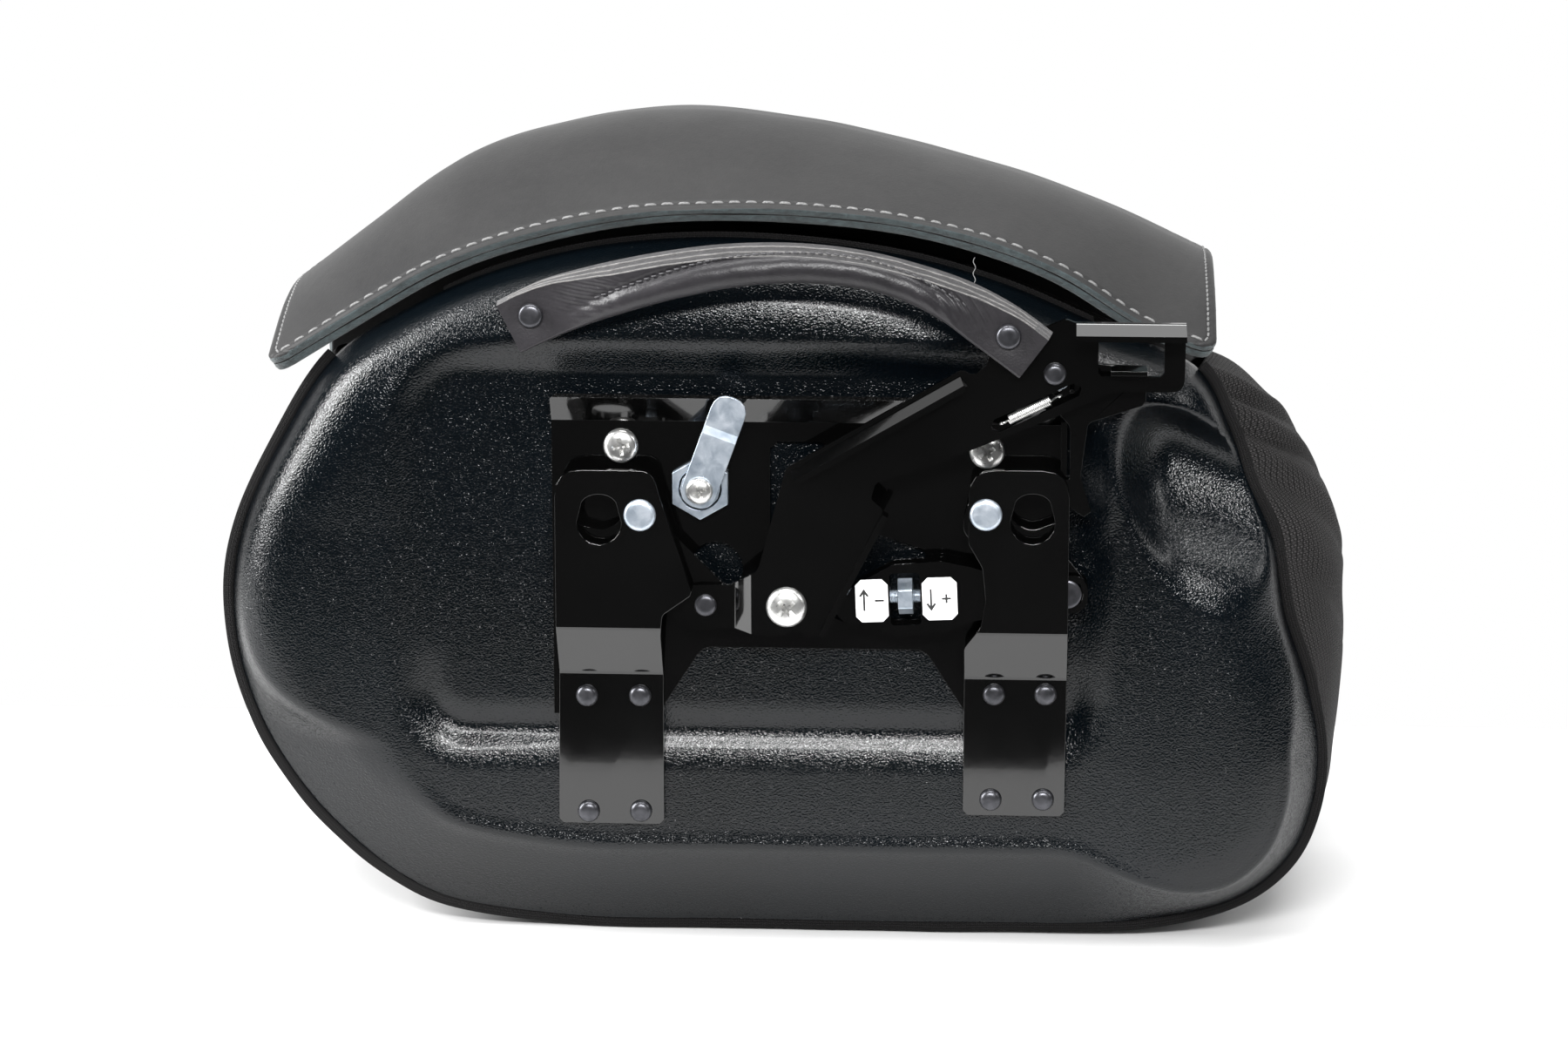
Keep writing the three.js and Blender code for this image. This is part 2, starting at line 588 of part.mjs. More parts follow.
const BRACKET_FACE = BRACKET_LOW_Y - BRACKET_SHEET - GAP;
for (const side of ['left', 'right']) {
  BRACKET_RIVETS[side].forEach((place, i) => {
    const tail = i < 2 ? CLINCH + 3 : SHELL_WALL - LAND_DEPTH + GAP + 3;
    const body = rivet(place, BRACKET_FACE, tail, 4.9, 3, 3.8);
    add(`bracket_rivet_${side}_${i + 1}`, body, blackRivet);
  });
}

// Pan-head screws of the base plate, each held inside by its own clinched tail.
PLATE_SCREWS.forEach((place, i) => {
  const face = BASE_PLATE_Y - SHEET - GAP;
  const body = rivet(place, face, CLINCH + 3, 7.6, 3.4, 5, 16);
  add(`plate_screw_${i === 0 ? 'left' : 'right'}`, body, stainless);
});

// ---------- jaws ----------
const SLOT_ANGLE = THREE.MathUtils.degToRad(10);
// A hole swept round a pivot, so that a pin can travel along it.
function sweptHole(pivot, from, radius, angle) {
  const centre = new THREE.Vector2(...pivot);
  const spots = [0, 0.25, 0.5, 0.75, 1].map((t) => new THREE.Vector2(...from).rotateAround(centre,
    angle * t));
  return spots.map((spot) => drill([spot.x, spot.y], radius, -60, -20, 14));
}

function jawLeft() {
  const [px, pz] = JAW_PIVOT_LEFT;
  const shape = outline([
    [-92, 197, 1], [-86, 193, 6], [-77.3, 190.6, 8], [-69, 194, 6], [-67, 207, 3], [-52, 208, 8],
    [-46, 190, 8],
    [-20.5, 164, 9], [-23, 147, 9], [-42, 148, 9], [-66, 184, 8], [-90, 183, 3],
  ]);
  roundHole(shape, [px, pz], RIVET_SHANK + HOLE_ROOM);
  const body = plate(shape, JAW_Y, BRACKET_SHEET);
  return cut(body, ...sweptHole(JAW_PIVOT_LEFT, LEVER_PIVOT, RIVET_SHANK + 0.5, SLOT_ANGLE * -1));
}
function jawRight() {
  const [px, pz] = JAW_PIVOT_RIGHT;
  const shape = outline([
    [124.5, 199, 1], [119, 196.5, 6], [109.9, 193, 8], [101.5, 196, 6], [99, 209, 3], [83, 210, 8],
    [79, 192, 8],
    [114, 163, 9], [117, 157, 6], [131, 157, 8], [133, 171, 8], [121, 186, 3],
  ]);
  roundHole(shape, [px, pz], RIVET_SHANK + HOLE_ROOM);
  roundHole(shape, LINK_END, 3.4);
  return plate(shape, JAW_Y, BRACKET_SHEET);
}
add('jaw_left', jawLeft(), blackSteel);
add('jaw_right', jawRight(), blackSteel);
const BRACKET_TOP_FACE = BRACKET_HIGH_Y - BRACKET_SHEET - GAP;
add('jaw_pivot_left', rivet(JAW_PIVOT_LEFT, BRACKET_TOP_FACE, JAW_Y + GAP + 3, 7, 2, 4.5, 10), zinc);
add('jaw_pivot_right', rivet(JAW_PIVOT_RIGHT, BRACKET_TOP_FACE, JAW_Y + GAP + 3, 7, 2, 4.5, 10), zinc);

// ---------- lever ----------
const LEVER_SHEET = 3;
const LEVER_CORNERS = [
  [-42, 149, 8], [-19, 149], [-7.5, 147.8, 2], [3, 147.8, 1], [8, 151, 2], [14, 147.4, 2], [18.2, 148.7, 2],
  [46.2, 203.3, 2], [40.5, 208.5, 1], [42.4, 215.5, 2], [70.2, 224.9], [119, 245.2], [143.8, 256.4, 2],
  [173.7, 256.4, 6], [174, 286],
  [127, 286, 3], [123, 287.6, 2], [112, 283], [106, 291, 5], [92, 289, 5], [90.3, 268, 6], [84.1, 262.6, 2],
  [78.9, 265.2, 1], [3.8, 221.5, 2], [2.6, 217], [-2.5, 197.7], [-8.2, 176.5, 6], [-20.3, 167.9, 6],
  [-42, 167.9, 8],
];
const FINGER_WINDOW = [[137, 263, 1.5], [165, 263, 1.5], [165, 281.5, 1.5], [137, 281.5, 1.5]];
const SPRING_SLOT = { from: [93, 240.5], to: [128.8, 257.8], halfWidth: 3 };

function slotCorners({ from, to, halfWidth }) {
  const along = new THREE.Vector2(to[0] - from[0], to[1] - from[1]).normalize();
  const across = new THREE.Vector2(-along.y, along.x).multiplyScalar(halfWidth);
  const corner = ([x, z],
    s, t) => [x + across.x * s + along.x * t, z + across.y * s + along.y * t, halfWidth * 0.8];
  return [corner(from, -1, -1), corner(to, -1, 1), corner(to, 1, 1), corner(from, 1, -1)];
}

// A flange that stands towards -Y along the line between two [x, z] points, dropping by a fall at its lip.
function flange([x0, z0], [x1, z1], depth, fall, yRoot) {
  const along = new THREE.Vector3(x1 - x0, 0, z1 - z0);
  const length = along.length();
  const section = [[yRoot, 0], [yRoot, -SHEET], [yRoot - depth, -SHEET - fall], [yRoot - depth, -fall]];
  const geometry = alongX(section, 0, length);
  geometry.rotateY(-Math.atan2(z1 - z0, x1 - x0));
  return geometry.translate(x0, 0, z0);
}

function lever() {
  const shape = outline(LEVER_CORNERS);
  polygonHole(shape, FINGER_WINDOW);
  polygonHole(shape, slotCorners(SPRING_SLOT));
  [LEVER_PIVOT, PAWL_PIVOT, GRIP_RIGHT].forEach((place) => roundHole(shape, place,
  RIVET_SHANK + HOLE_ROOM));
  roundHole(shape, LINK_PIVOT, 3.4);
  const [arm, main] = [LEVER_ARM_Y, LEVER_Y];
  const section = [
    [-50, arm], [-50, arm - LEVER_SHEET], [-19, arm - LEVER_SHEET, 2], [-11, main - LEVER_SHEET, 2],
    [180, main - LEVER_SHEET], [180, main], [-10, main, 2], [-18, arm, 2],
  ];
  const body = common(plate(shape, -30, 30), alongZ(section, 140, 295));
  const root = LEVER_Y - 1;
  return join(
    body,
    flange([127.5, 286], [174, 286], 18, 3, root),
    flange([5, 221.6], [77.5, 263.8], 8, 5, root),
    flange([18.4, 149.5], [45.8, 203], 9, 0, root),
  );
}
add('lever', lever(), blackSteel);
const LEVER_FACE = LEVER_Y - LEVER_SHEET - GAP;
const ARM_FACE = LEVER_ARM_Y - LEVER_SHEET - GAP;
add('lever_rivet', rivet(LEVER_PIVOT, ARM_FACE, JAW_Y + GAP + 3, 4.9, 2, 3.8), blackRivet);

// Hand grip's rivets: one through the shell, one through the lever's lobe.
const GRIP_END_THICKNESS = 7;
const GRIP_LEFT_FACE = -SHELL_DEPTH - 0.6 - GRIP_END_THICKNESS - GAP;
const GRIP_RIGHT_FACE = LEVER_FACE - GRIP_END_THICKNESS - GAP;
add('grip_rivet_left', rivet(GRIP_LEFT, GRIP_LEFT_FACE, -20, 5.4, 2.4, 4.2), blackRivet);
add('grip_rivet_right', rivet(GRIP_RIGHT, GRIP_RIGHT_FACE, LEVER_Y + GAP + 3, 5.4, 2.4, 4.2), blackRivet);

// ---------- grip ----------
// Stations from the left end to the right: [x, z, half width, half thickness, y of the middle].
const GRIP_STATIONS = [
  [-116, 279.8, 12, 3.5, -40.1], [-106.3, 284.6, 12.2, 3.5, -40.1], [-98.5, 288.2, 12.6, 3.5, -40.1],
  [-82, 294.5, 12, 5.5, -46], [-67, 299.3, 11.6, 6.5, -50], [-45, 305, 10.5, 7, -52.5],
  [-21, 309.3, 9, 7, -54],
  [8, 311, 7.8, 7, -55], [35, 308.8, 7.2, 7, -55.5], [60, 302.4, 7.4, 7, -55.8], [76, 295.8, 10, 6, -55.5],
  [91, 286.3, 11.4, 3.5, -54.7], [98.8, 281, 11.6, 3.5, -54.7], [109.8, 272.8, 11.2, 3.5, -54.7],
];
const GRIP_SIDES = 8;
function grip() {
  const centres = GRIP_STATIONS.map(([x, z, , , y]) => new THREE.Vector3(x, y, z));
  const rows = GRIP_STATIONS.map(([, , halfWidth, halfThickness], i) => {
    const ahead = centres[Math.min(i + 1, centres.length - 1)];
    const along = ahead.clone().sub(centres[Math.max(i - 1, 0)]).setY(0).normalize();
    const across = new THREE.Vector3(-along.z, 0, along.x);
    return Array.from({ length: GRIP_SIDES }, (_, k) => {
      const angle = ((k + 0.5) * 2 * Math.PI) / GRIP_SIDES;
      const square = (value) => Math.sign(value) * Math.abs(value) ** 0.6;
      const q = centres[i].clone().addScaledVector(across, halfWidth * square(Math.cos(angle)));
      return q.add(new THREE.Vector3(0, halfThickness * square(Math.sin(angle)), 0));
    });
  });
  const body = loft(rows, centres[0], centres.at(-1));
  return cut(body, rivetHole(GRIP_LEFT), rivetHole(GRIP_RIGHT));
}
add('grip_leather', grip(), gripLeather);

// ---------- link with its length adjuster ----------
const ROD_RADIUS = 2.9;
const linkAngle = Math.atan2(LINK_END[1] - LINK_PIVOT[1], LINK_END[0] - LINK_PIVOT[0]);
const LINK_LENGTH = Math.hypot(LINK_END[0] - LINK_PIVOT[0], LINK_END[1] - LINK_PIVOT[1]);
// The link's own group: its X runs along the rod, from the lever's screw to the right jaw.
const link = new THREE.Group();
link.position.set(LINK_PIVOT[0], ROD_Y, LINK_PIVOT[1]);
link.rotation.y = -linkAngle;
bag.add(link);

const EYE = { radius: 8.5, halfThickness: 2.8, hole: 3.4 };
function linkRod() {
  const eye = new THREE.CylinderGeometry(EYE.radius, EYE.radius, EYE.halfThickness * 2, 18);
  const rod = new THREE.CylinderGeometry(ROD_RADIUS, ROD_RADIUS, 70,
    10).rotateZ(Math.PI / 2).translate(39, 0, 0);
  return cut(join(eye, rod), drill([0, 0], EYE.hole, -10, 10, 14));
}
add('link_rod', linkRod(), zinc, link);

const LEAF = 1.6;
const LEAF_FRONT = -4.6; // back face of the front leaf, from the rod's axis
const LEAF_REAR = 5.2; // back face of the rear leaf
const NUT = { x: 51, halfLength: 3.2, flats: 14 };
function adjusterBody() {
  const corners = [
    [21, -9, 3], [30, 1, 3], [46, 9, 4], [67, 10, 4], [80, 7, 4], [100, 6, 4], [LINK_LENGTH + 9, 9, 8],
    [LINK_LENGTH + 9, -9, 8], [100, -8, 4], [80, -17, 4], [68, -21.5, 4], [47, -22.5, 4], [33, -17, 4],
    [22, -15, 3],
  ];
  const lifted = corners.map(([x, z, radius]) => [x, x < LINK_LENGTH - 30 ? z + 6.2 : z, radius]);
  const shape = outline(lifted);
  polygonHole(shape, [[NUT.x - 6.6, -11.5, 1], [NUT.x + 6.6, -11.5, 1], [NUT.x + 6.6, 11.5, 1],
    [NUT.x - 6.6, 11.5, 1]]);
  const slotEnd = LINK_LENGTH;
  polygonHole(shape, [
    [slotEnd - 9, -4.9, 4], [slotEnd + 7, -4.9, 4], [slotEnd + 7, 4.9, 4], [slotEnd - 9, 4.9, 4]]);
  const leaves = [plate(shape, LEAF_FRONT, LEAF), plate(shape, LEAF_REAR, LEAF)];
  // Two cheeks carry the rod and tie the leaves together.
  const cheeks = [36, 68].map((x) => new THREE.BoxGeometry(5, LEAF_REAR - LEAF_FRONT + 0.8, 13)
    .translate(x, (LEAF_REAR - LEAF + LEAF_FRONT) / 2, 0));
  const bore = new THREE.CylinderGeometry(ROD_RADIUS + HOLE_ROOM, ROD_RADIUS + HOLE_ROOM, 90, 10);
  bore.rotateZ(Math.PI / 2).translate(45, 0, 0);
  return cut(join(leaves[0], leaves[1], ...cheeks), bore);
}
add('adjuster_body', adjusterBody(), blackSteel, link);

function adjusterNut() {
  const nut = new THREE.CylinderGeometry(NUT.flats / Math.sqrt(3), NUT.flats / Math.sqrt(3),
    NUT.halfLength * 2, 6);
  const bore = new THREE.CylinderGeometry(ROD_RADIUS + HOLE_ROOM, ROD_RADIUS + HOLE_ROOM, 20, 12);
  return cut(nut, bore).rotateZ(Math.PI / 2).translate(NUT.x, 0, 0);
}
add('adjuster_nut', adjusterNut(), zinc, link);

const LABEL_SHEET = 0.4;
[['left', 29.5, 43.6], ['right', 58.4, 73.5]].forEach(([side, x0, x1]) => {
  const shape = outline([[x0, -9.6, 2.5], [x1, -9.6, 2.5], [x1, 9.2, 2.5], [x0, 9.2, 2.5]]);
  add(`adjuster_label_${side}`, plate(shape, LEAF_FRONT - LEAF - 0.1, LABEL_SHEET), labelWhite, link);
});

// Pin between the link's end and the right jaw, and the screw between the lever and the link.
function headedPin(place, yHead, headHeight, headRadius, shank, yTail, tailHeight, tailRadius) {
  return turned([
    [0, yHead - headHeight], [headRadius * 0.6, yHead - headHeight * 0.85],
    [headRadius * 0.9, yHead - headHeight * 0.45],
    [headRadius, yHead], [shank, yHead], [shank, yTail - tailHeight], [tailRadius, yTail - tailHeight],
    [tailRadius, yTail], [0, yTail],
  ], place, 12);
}
const LEAF_FACE = ROD_Y + LEAF_FRONT - LEAF - GAP;
add('link_pin', headedPin(LINK_END, LEAF_FACE, 0.8, 6.2, 3, ROD_Y + LEAF_REAR + GAP + 1, 1, 6.2),
  blackRivet);
add('link_screw', headedPin(LINK_PIVOT, LEVER_FACE, 4, 8.8, 3, ROD_Y + EYE.halfThickness + GAP + 2, 2,
  5), stainless);
const SPACER_BACK = ROD_Y - EYE.halfThickness - GAP;
function ringBetween(place, radius, bore, yFront, yBack) {
  return turned([[bore, yFront], [radius, yFront], [radius, yBack], [bore, yBack], [bore, yFront]],
    place, 12);
}
add('link_spacer', ringBetween(LINK_PIVOT, 6, 3.3, LEVER_Y + GAP, SPACER_BACK), zinc);

// ---------- pawl ----------
const PAWL_SHEET = 2.5;
function pawl() {
  const shape = outline([
    [110, 272, 6], [126, 273, 6], [136, 267, 3], [158, 266, 1], [157.4, 249.6, 2], [133, 241.4, 2],
    [130, 217.8, 3],
    [136.6, 197.2, 3], [126.8, 203.6, 1], [116.5, 209, 1], [116.5, 216.4, 1], [125.4, 216.4, 1],
    [125.6, 240, 6], [110, 256, 6],
  ]);
  roundHole(shape, PAWL_PIVOT, RIVET_SHANK + HOLE_ROOM);
  const tab = new THREE.BoxGeometry(15.5, 15, 2).translate(150, PAWL_Y - 9, 265.5);
  const anchor = drill([126, 256.4], 1.1, LEVER_Y - 2.6, PAWL_Y - 1, 8);
  return join(plate(shape, PAWL_Y, PAWL_SHEET), tab, anchor);
}
add('pawl', pawl(), blackSteel);
add('pawl_rivet', rivet(PAWL_PIVOT, LEVER_FACE, PAWL_Y + GAP + 3, 4.9, 2.8, 3.8), blackRivet);
const SPACER_FRONT = LEVER_Y + GAP;
add('pawl_spacer', ringBetween(PAWL_PIVOT, 8, 2.8, SPACER_FRONT, PAWL_Y - PAWL_SHEET - GAP), zinc);

function pawlSpring() {
  const [from, to] = [new THREE.Vector3(95, 0, 241.5), new THREE.Vector3(121, 0, 254)];
  const length = from.distanceTo(to);
  const coil = new THREE.CylinderGeometry(1.9, 1.9, length, 8).rotateZ(Math.PI / 2);
  coil.rotateY(-Math.atan2(to.z - from.z, to.x - from.x));
  return coil.translate((from.x + to.x) / 2, LEVER_Y - LEVER_SHEET / 2, (from.z + to.z) / 2);
}
add('pawl_spring', pawlSpring(), zinc);

// ---------- cam lock ----------
const CAM = { width: 15.5, length: 44, sheet: 2, lean: THREE.MathUtils.degToRad(20) };
const NUT_FACE = BASE_PLATE_Y - SHEET - GAP;
const BARREL_END = -34.6;
const barrelProfile = [
  [0, BARREL_END], [6.5, BARREL_END], [6.5, NUT_FACE - 4.2], [8.8, NUT_FACE - 4.2], [8.8, CLINCH],
  [12, CLINCH], [12, CLINCH + 4], [0, CLINCH + 4],
];
function lockBarrel() {
  const body = turned(barrelProfile, LOCK, 12);
  const keyway = new THREE.BoxGeometry(1.6, 6, 8).translate(LOCK[0], CLINCH + 3, LOCK[1]);
  return cut(body, keyway);
}
add('lock_barrel', lockBarrel(), zinc);
function lockNut() {
  const hexagon = Array.from({ length: 6 }, (_, k) => {
    const angle = ((k + 0.5) * Math.PI) / 3;
    return [LOCK[0] + 13.9 * Math.cos(angle), LOCK[1] + 13.9 * Math.sin(angle)];
  });
  return plate(roundHole(outline(hexagon), LOCK, LOCK_HOLE), NUT_FACE, 4);
}
add('lock_nut', lockNut(), zinc);

// The cam's own group turns with the lock: its Z runs along the arm.
const cam = new THREE.Group();
cam.position.set(LOCK[0], BARREL_END - GAP, LOCK[1]);
cam.rotation.y = CAM.lean;
bag.add(cam);
function camArm() {
  const half = CAM.width / 2;
  const shape = outline([[-half, -half, half], [half, -half, half], [half, CAM.length, half],
    [-half, CAM.length, half]]);
  roundHole(shape, [0, 0], RIVET_SHANK + HOLE_ROOM);
  const section = [
    [0, -10], [0, 25], [-2.4, 29], [-2.4, 60], [-2.4 - CAM.sheet, 60], [-2.4 - CAM.sheet, 28.6],
    [-CAM.sheet, 24.6],
    [-CAM.sheet, -10],
  ];
  return common(plate(shape, 5, 20), alongX(section, -12, 12));
}
add('lock_cam', camArm(), zinc, cam);
add('cam_screw', rivet([0, 0], -CAM.sheet - GAP, 0.1, 6.1, 3, 0, 10), stainless, cam);

export default bag;
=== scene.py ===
"""A quick-detach motorcycle saddlebag's looks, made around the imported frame.

Lengths here are millimetres in the bag's own frame: X along the bike, Z up, and Y zero on the seam plane
between the moulded shell and the nylon, growing away from the bike. place() turns them into metres in the
row frame.
"""

import json
import math
import random

import bmesh
import bpy
import numpy as np
from mathutils import Matrix, Vector

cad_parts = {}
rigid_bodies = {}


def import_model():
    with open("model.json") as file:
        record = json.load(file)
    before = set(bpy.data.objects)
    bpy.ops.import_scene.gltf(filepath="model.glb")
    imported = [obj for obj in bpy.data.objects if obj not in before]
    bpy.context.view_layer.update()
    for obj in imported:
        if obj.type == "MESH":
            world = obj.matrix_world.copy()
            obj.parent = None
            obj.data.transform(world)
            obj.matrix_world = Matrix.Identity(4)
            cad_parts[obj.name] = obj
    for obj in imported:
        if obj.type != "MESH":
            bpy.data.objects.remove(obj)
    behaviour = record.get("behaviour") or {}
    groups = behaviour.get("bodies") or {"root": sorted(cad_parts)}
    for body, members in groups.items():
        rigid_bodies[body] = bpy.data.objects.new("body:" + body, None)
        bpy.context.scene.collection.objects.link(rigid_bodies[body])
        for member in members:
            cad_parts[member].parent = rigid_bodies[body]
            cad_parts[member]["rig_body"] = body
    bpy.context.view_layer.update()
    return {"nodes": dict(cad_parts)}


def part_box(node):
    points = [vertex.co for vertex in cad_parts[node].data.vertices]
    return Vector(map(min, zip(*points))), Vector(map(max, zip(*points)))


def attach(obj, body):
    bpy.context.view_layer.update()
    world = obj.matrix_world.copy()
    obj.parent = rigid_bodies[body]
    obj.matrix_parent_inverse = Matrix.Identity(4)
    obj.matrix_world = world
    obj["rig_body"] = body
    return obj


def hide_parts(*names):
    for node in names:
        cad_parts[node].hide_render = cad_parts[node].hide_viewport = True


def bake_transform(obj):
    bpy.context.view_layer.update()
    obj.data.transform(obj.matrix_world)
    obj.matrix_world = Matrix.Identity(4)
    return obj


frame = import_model()

MM = 0.001
SEAM_Y = -79.0  # where the seam plane lies in the row frame
BAG_DEPTH = 158.0  # from the seam plane to the front panel's edge
RNG = random.Random(11)


# ---------- camera, floor and light ----------
def look_at(obj, target):
    obj.rotation_euler = (Vector(target) - obj.location).to_track_quat("-Z", "Y").to_euler()


def add_camera(target, azimuth, elevation, distance, focal_mm):
    camera = bpy.data.objects.new("camera", bpy.data.cameras.new("camera"))
    camera.data.lens = focal_mm
    camera.data.sensor_width = 36
    camera.data.clip_end = 50
    a, e = math.radians(azimuth), math.radians(elevation)
    away = Vector((math.sin(a) * math.cos(e), -math.cos(a) * math.cos(e), math.sin(e)))
    camera.location = Vector(target) + away * distance
    look_at(camera, target)
    bpy.context.scene.collection.objects.link(camera)
    bpy.context.scene.camera = camera


def add_light(name, place_m, target, size, power, colour=(1, 1, 1)):
    light = bpy.data.lights.new(name, "AREA")
    light.shape = "RECTANGLE"
    light.size, light.size_y = size
    light.energy = power
    light.color = colour
    obj = bpy.data.objects.new(name, light)
    obj.location = place_m
    look_at(obj, target)
    bpy.context.scene.collection.objects.link(obj)


def add_card(name, corners, material, glossy_only=False):
    """A flat stage card through four corners in metres; a glossy-only one shows in reflections alone."""
    mesh = bpy.data.meshes.new(name)
    mesh.from_pydata(corners, [], [(0, 1, 2, 3)])
    mesh.materials.append(material)
    obj = bpy.data.objects.new(name, mesh)
    bpy.context.scene.collection.objects.link(obj)
    if glossy_only:
        obj.visible_camera = False
        obj.visible_diffuse = False
        obj.visible_shadow = False


# ---------- shader helpers ----------
class Shader:
    """A node material with one Principled shader; numbers go on its own sockets."""

    def __init__(self, name, **values):
        self.material = bpy.data.materials.new(name)
        self.material.use_nodes = True
        self.tree = self.material.node_tree
        self.principled = self.tree.nodes["Principled BSDF"]
        for socket, value in values.items():
            self.principled.inputs[socket.replace("_", " ")].default_value = value

    def node(self, kind, values=None, **settings):
        made = self.tree.nodes.new("ShaderNode" + kind)
        for key, value in settings.items():
            setattr(made, key, value)
        for socket, value in (values or {}).items():
            if isinstance(value, bpy.types.NodeSocket):
                self.tree.links.new(value, made.inputs[socket])
            else:
                made.inputs[socket].default_value = value
        return made

    def math(self, operation, a, b=0.0):
        return self.node("Math", {0: a, 1: b}, operation=operation).outputs[0]

    def coordinates(self, stretch=(1, 1, 1), turn=(0, 0, 0), source="Object"):
        where = self.node("TexCoord").outputs[source]
        return self.node("Mapping", {"Vector": where, "Scale": stretch, "Rotation": turn}).outputs[0]

    def noise(self, scale, detail=2.0, roughness=0.5, distortion=0.0, vector=None):
        values = {"Scale": scale, "Detail": detail, "Roughness": roughness, "Distortion": distortion}
        values["Vector"] = vector or self.coordinates()
        return self.node("TexNoise", values).outputs[0]

    def cells(self, scale, feature="F1", vector=None, randomness=1.0, output="Distance"):
        values = {"Scale": scale, "Randomness": randomness, "Vector": vector or self.coordinates()}
        return self.node("TexVoronoi", values, feature=feature).outputs[output]

    def ramp(self, value, stops):
        made = self.node("ValToRGB", {"Fac": value})
        elements = made.color_ramp.elements
        while len(elements) < len(stops):
            elements.new(0.5)
        for element, (position, colour) in zip(elements, stops):
            element.position = position
            element.color = (*colour, 1) if isinstance(colour, tuple) else (colour, colour, colour, 1)
        return made.outputs[0]

    def span(self, value, low, high):
        """The value, 0 to 1, carried onto low to high."""
        return self.node("MapRange", {"Value": value, "To Min": low, "To Max": high}).outputs[0]

    def colour(self, socket):
        self.tree.links.new(socket, self.principled.inputs["Base Color"])

    def roughness(self, socket):
        self.tree.links.new(socket, self.principled.inputs["Roughness"])

    def bump(self, height, distance_mm, strength=1.0, after=None):
        values = {"Height": height, "Distance": distance_mm * MM, "Strength": strength}
        if after is not None:
            values["Normal"] = after
        made = self.node("Bump", values).outputs[0]
        self.tree.links.new(made, self.principled.inputs["Normal"])
        return made


def shell_plastic():
    """Glossy black ABS moulded with a fine leather grain."""
    s = Shader("shell_plastic", Roughness=0.18, Specular_IOR_Level=0.32, Coat_Weight=0.06,
               Coat_Roughness=0.08)
    s.colour(s.ramp(s.noise(9, 3), [(0.3, (0.0005, 0.001, 0.0015)), (0.75, (0.001, 0.002, 0.003))]))
    s.roughness(s.span(s.noise(45, 4), 0.13, 0.21))
    grain = s.cells(1350, "SMOOTH_F1", s.coordinates((0.85, 1, 1.05), (0, 0.25, 0)))
    wrinkles = s.noise(1150, 1, 0.4, 0.8)
    first = s.bump(wrinkles, 0.38, 0.52)
    s.bump(grain, 0.26, 0.62, first)
    return s.material


def plate_coat():
    """Mirror-gloss black powder coat with a trace of orange peel."""
    s = Shader("plate_coat", Specular_IOR_Level=0.5, Coat_Weight=0.35, Coat_Roughness=0.03)
    s.colour(s.ramp(s.noise(20, 3), [(0.3, 0.0006), (0.8, 0.0012)]))
    s.roughness(s.span(s.noise(60, 4), 0.05, 0.11))
    peel = s.bump(s.noise(240, 1), 0.02, 0.35)
    s.bump(s.noise(2600, 2), 0.003, 0.3, peel)
    return s.material


def rivet_black():
    """Black-plated rivet heads, burnished on the dome."""
    s = Shader("rivet_black", Metallic=0.85)
    s.colour(s.ramp(s.noise(220, 4), [(0.3, (0.035, 0.036, 0.04)), (0.8, (0.09, 0.09, 0.1))]))
    s.roughness(s.span(s.noise(420, 4), 0.22, 0.42))
    s.bump(s.noise(1800, 3), 0.02, 0.4)
    return s.material


def zinc_plate():
    """Bright zinc plating: cool, slightly cloudy, with a fine crosshatch."""
    s = Shader("zinc_plate", Metallic=0.85, Specular_IOR_Level=0.6)
    cloud = s.noise(130, 5, 0.6, 0.6)
    s.colour(s.ramp(cloud, [(0.25, (0.3, 0.36, 0.44)), (0.5, (0.46, 0.52, 0.59)), (0.8, (0.66, 0.7, 0.76))]))
    s.roughness(s.span(cloud, 0.24, 0.46))
    first = s.bump(s.noise(900, 3, 0.6, 0, s.coordinates((1, 1, 4), (0, 0.8, 0))), 0.06, 0.7)
    s.bump(s.noise(900, 3, 0.6, 0, s.coordinates((4, 1, 1), (0, 0.8, 0))), 0.06, 0.7, first)
    return s.material


def stainless():
    """Polished stainless screw heads with turning marks."""
    s = Shader("stainless", Metallic=0.95)
    s.colour(s.ramp(s.noise(160, 3), [(0.3, (0.6, 0.6, 0.59)), (0.8, (0.86, 0.855, 0.84))]))
    s.roughness(s.span(s.noise(520, 4), 0.2, 0.4))
    s.bump(s.noise(2100, 2), 0.012, 0.5)
    return s.material


def weave_height(s, pitch_mm, vector):
    """Height of a basket weave in the UV plane, whose unit is a metre: warp and weft swap by turns."""
    per_thread = (1 / (pitch_mm * MM),) * 3
    scaled = s.node("VectorMath", {0: vector, 1: per_thread}, operation="MULTIPLY").outputs[0]
    parts = s.node("SeparateXYZ", {0: scaled})
    u, v = parts.outputs[0], parts.outputs[1]
    parity = s.math("PINGPONG", s.math("ADD", s.math("FLOOR", u), s.math("FLOOR", v)), 1.0)

    def across(value):
        return s.math("SINE", s.math("MULTIPLY", s.math("FRACT", value), math.pi))

    def strand(along, crossing):
        half_turns = s.math("FRACT", s.math("MULTIPLY", crossing, 2.0))
        ribs = s.math("SINE", s.math("MULTIPLY", half_turns, math.pi))
        return s.math("MULTIPLY", s.math("POWER", ribs, 0.6), s.math("POWER", across(along), 0.5))

    warp = s.math("MULTIPLY", strand(u, v), parity)
    weft = s.math("MULTIPLY", strand(v, u), s.math("SUBTRACT", 1.0, parity))
    return s.math("ADD", warp, weft)


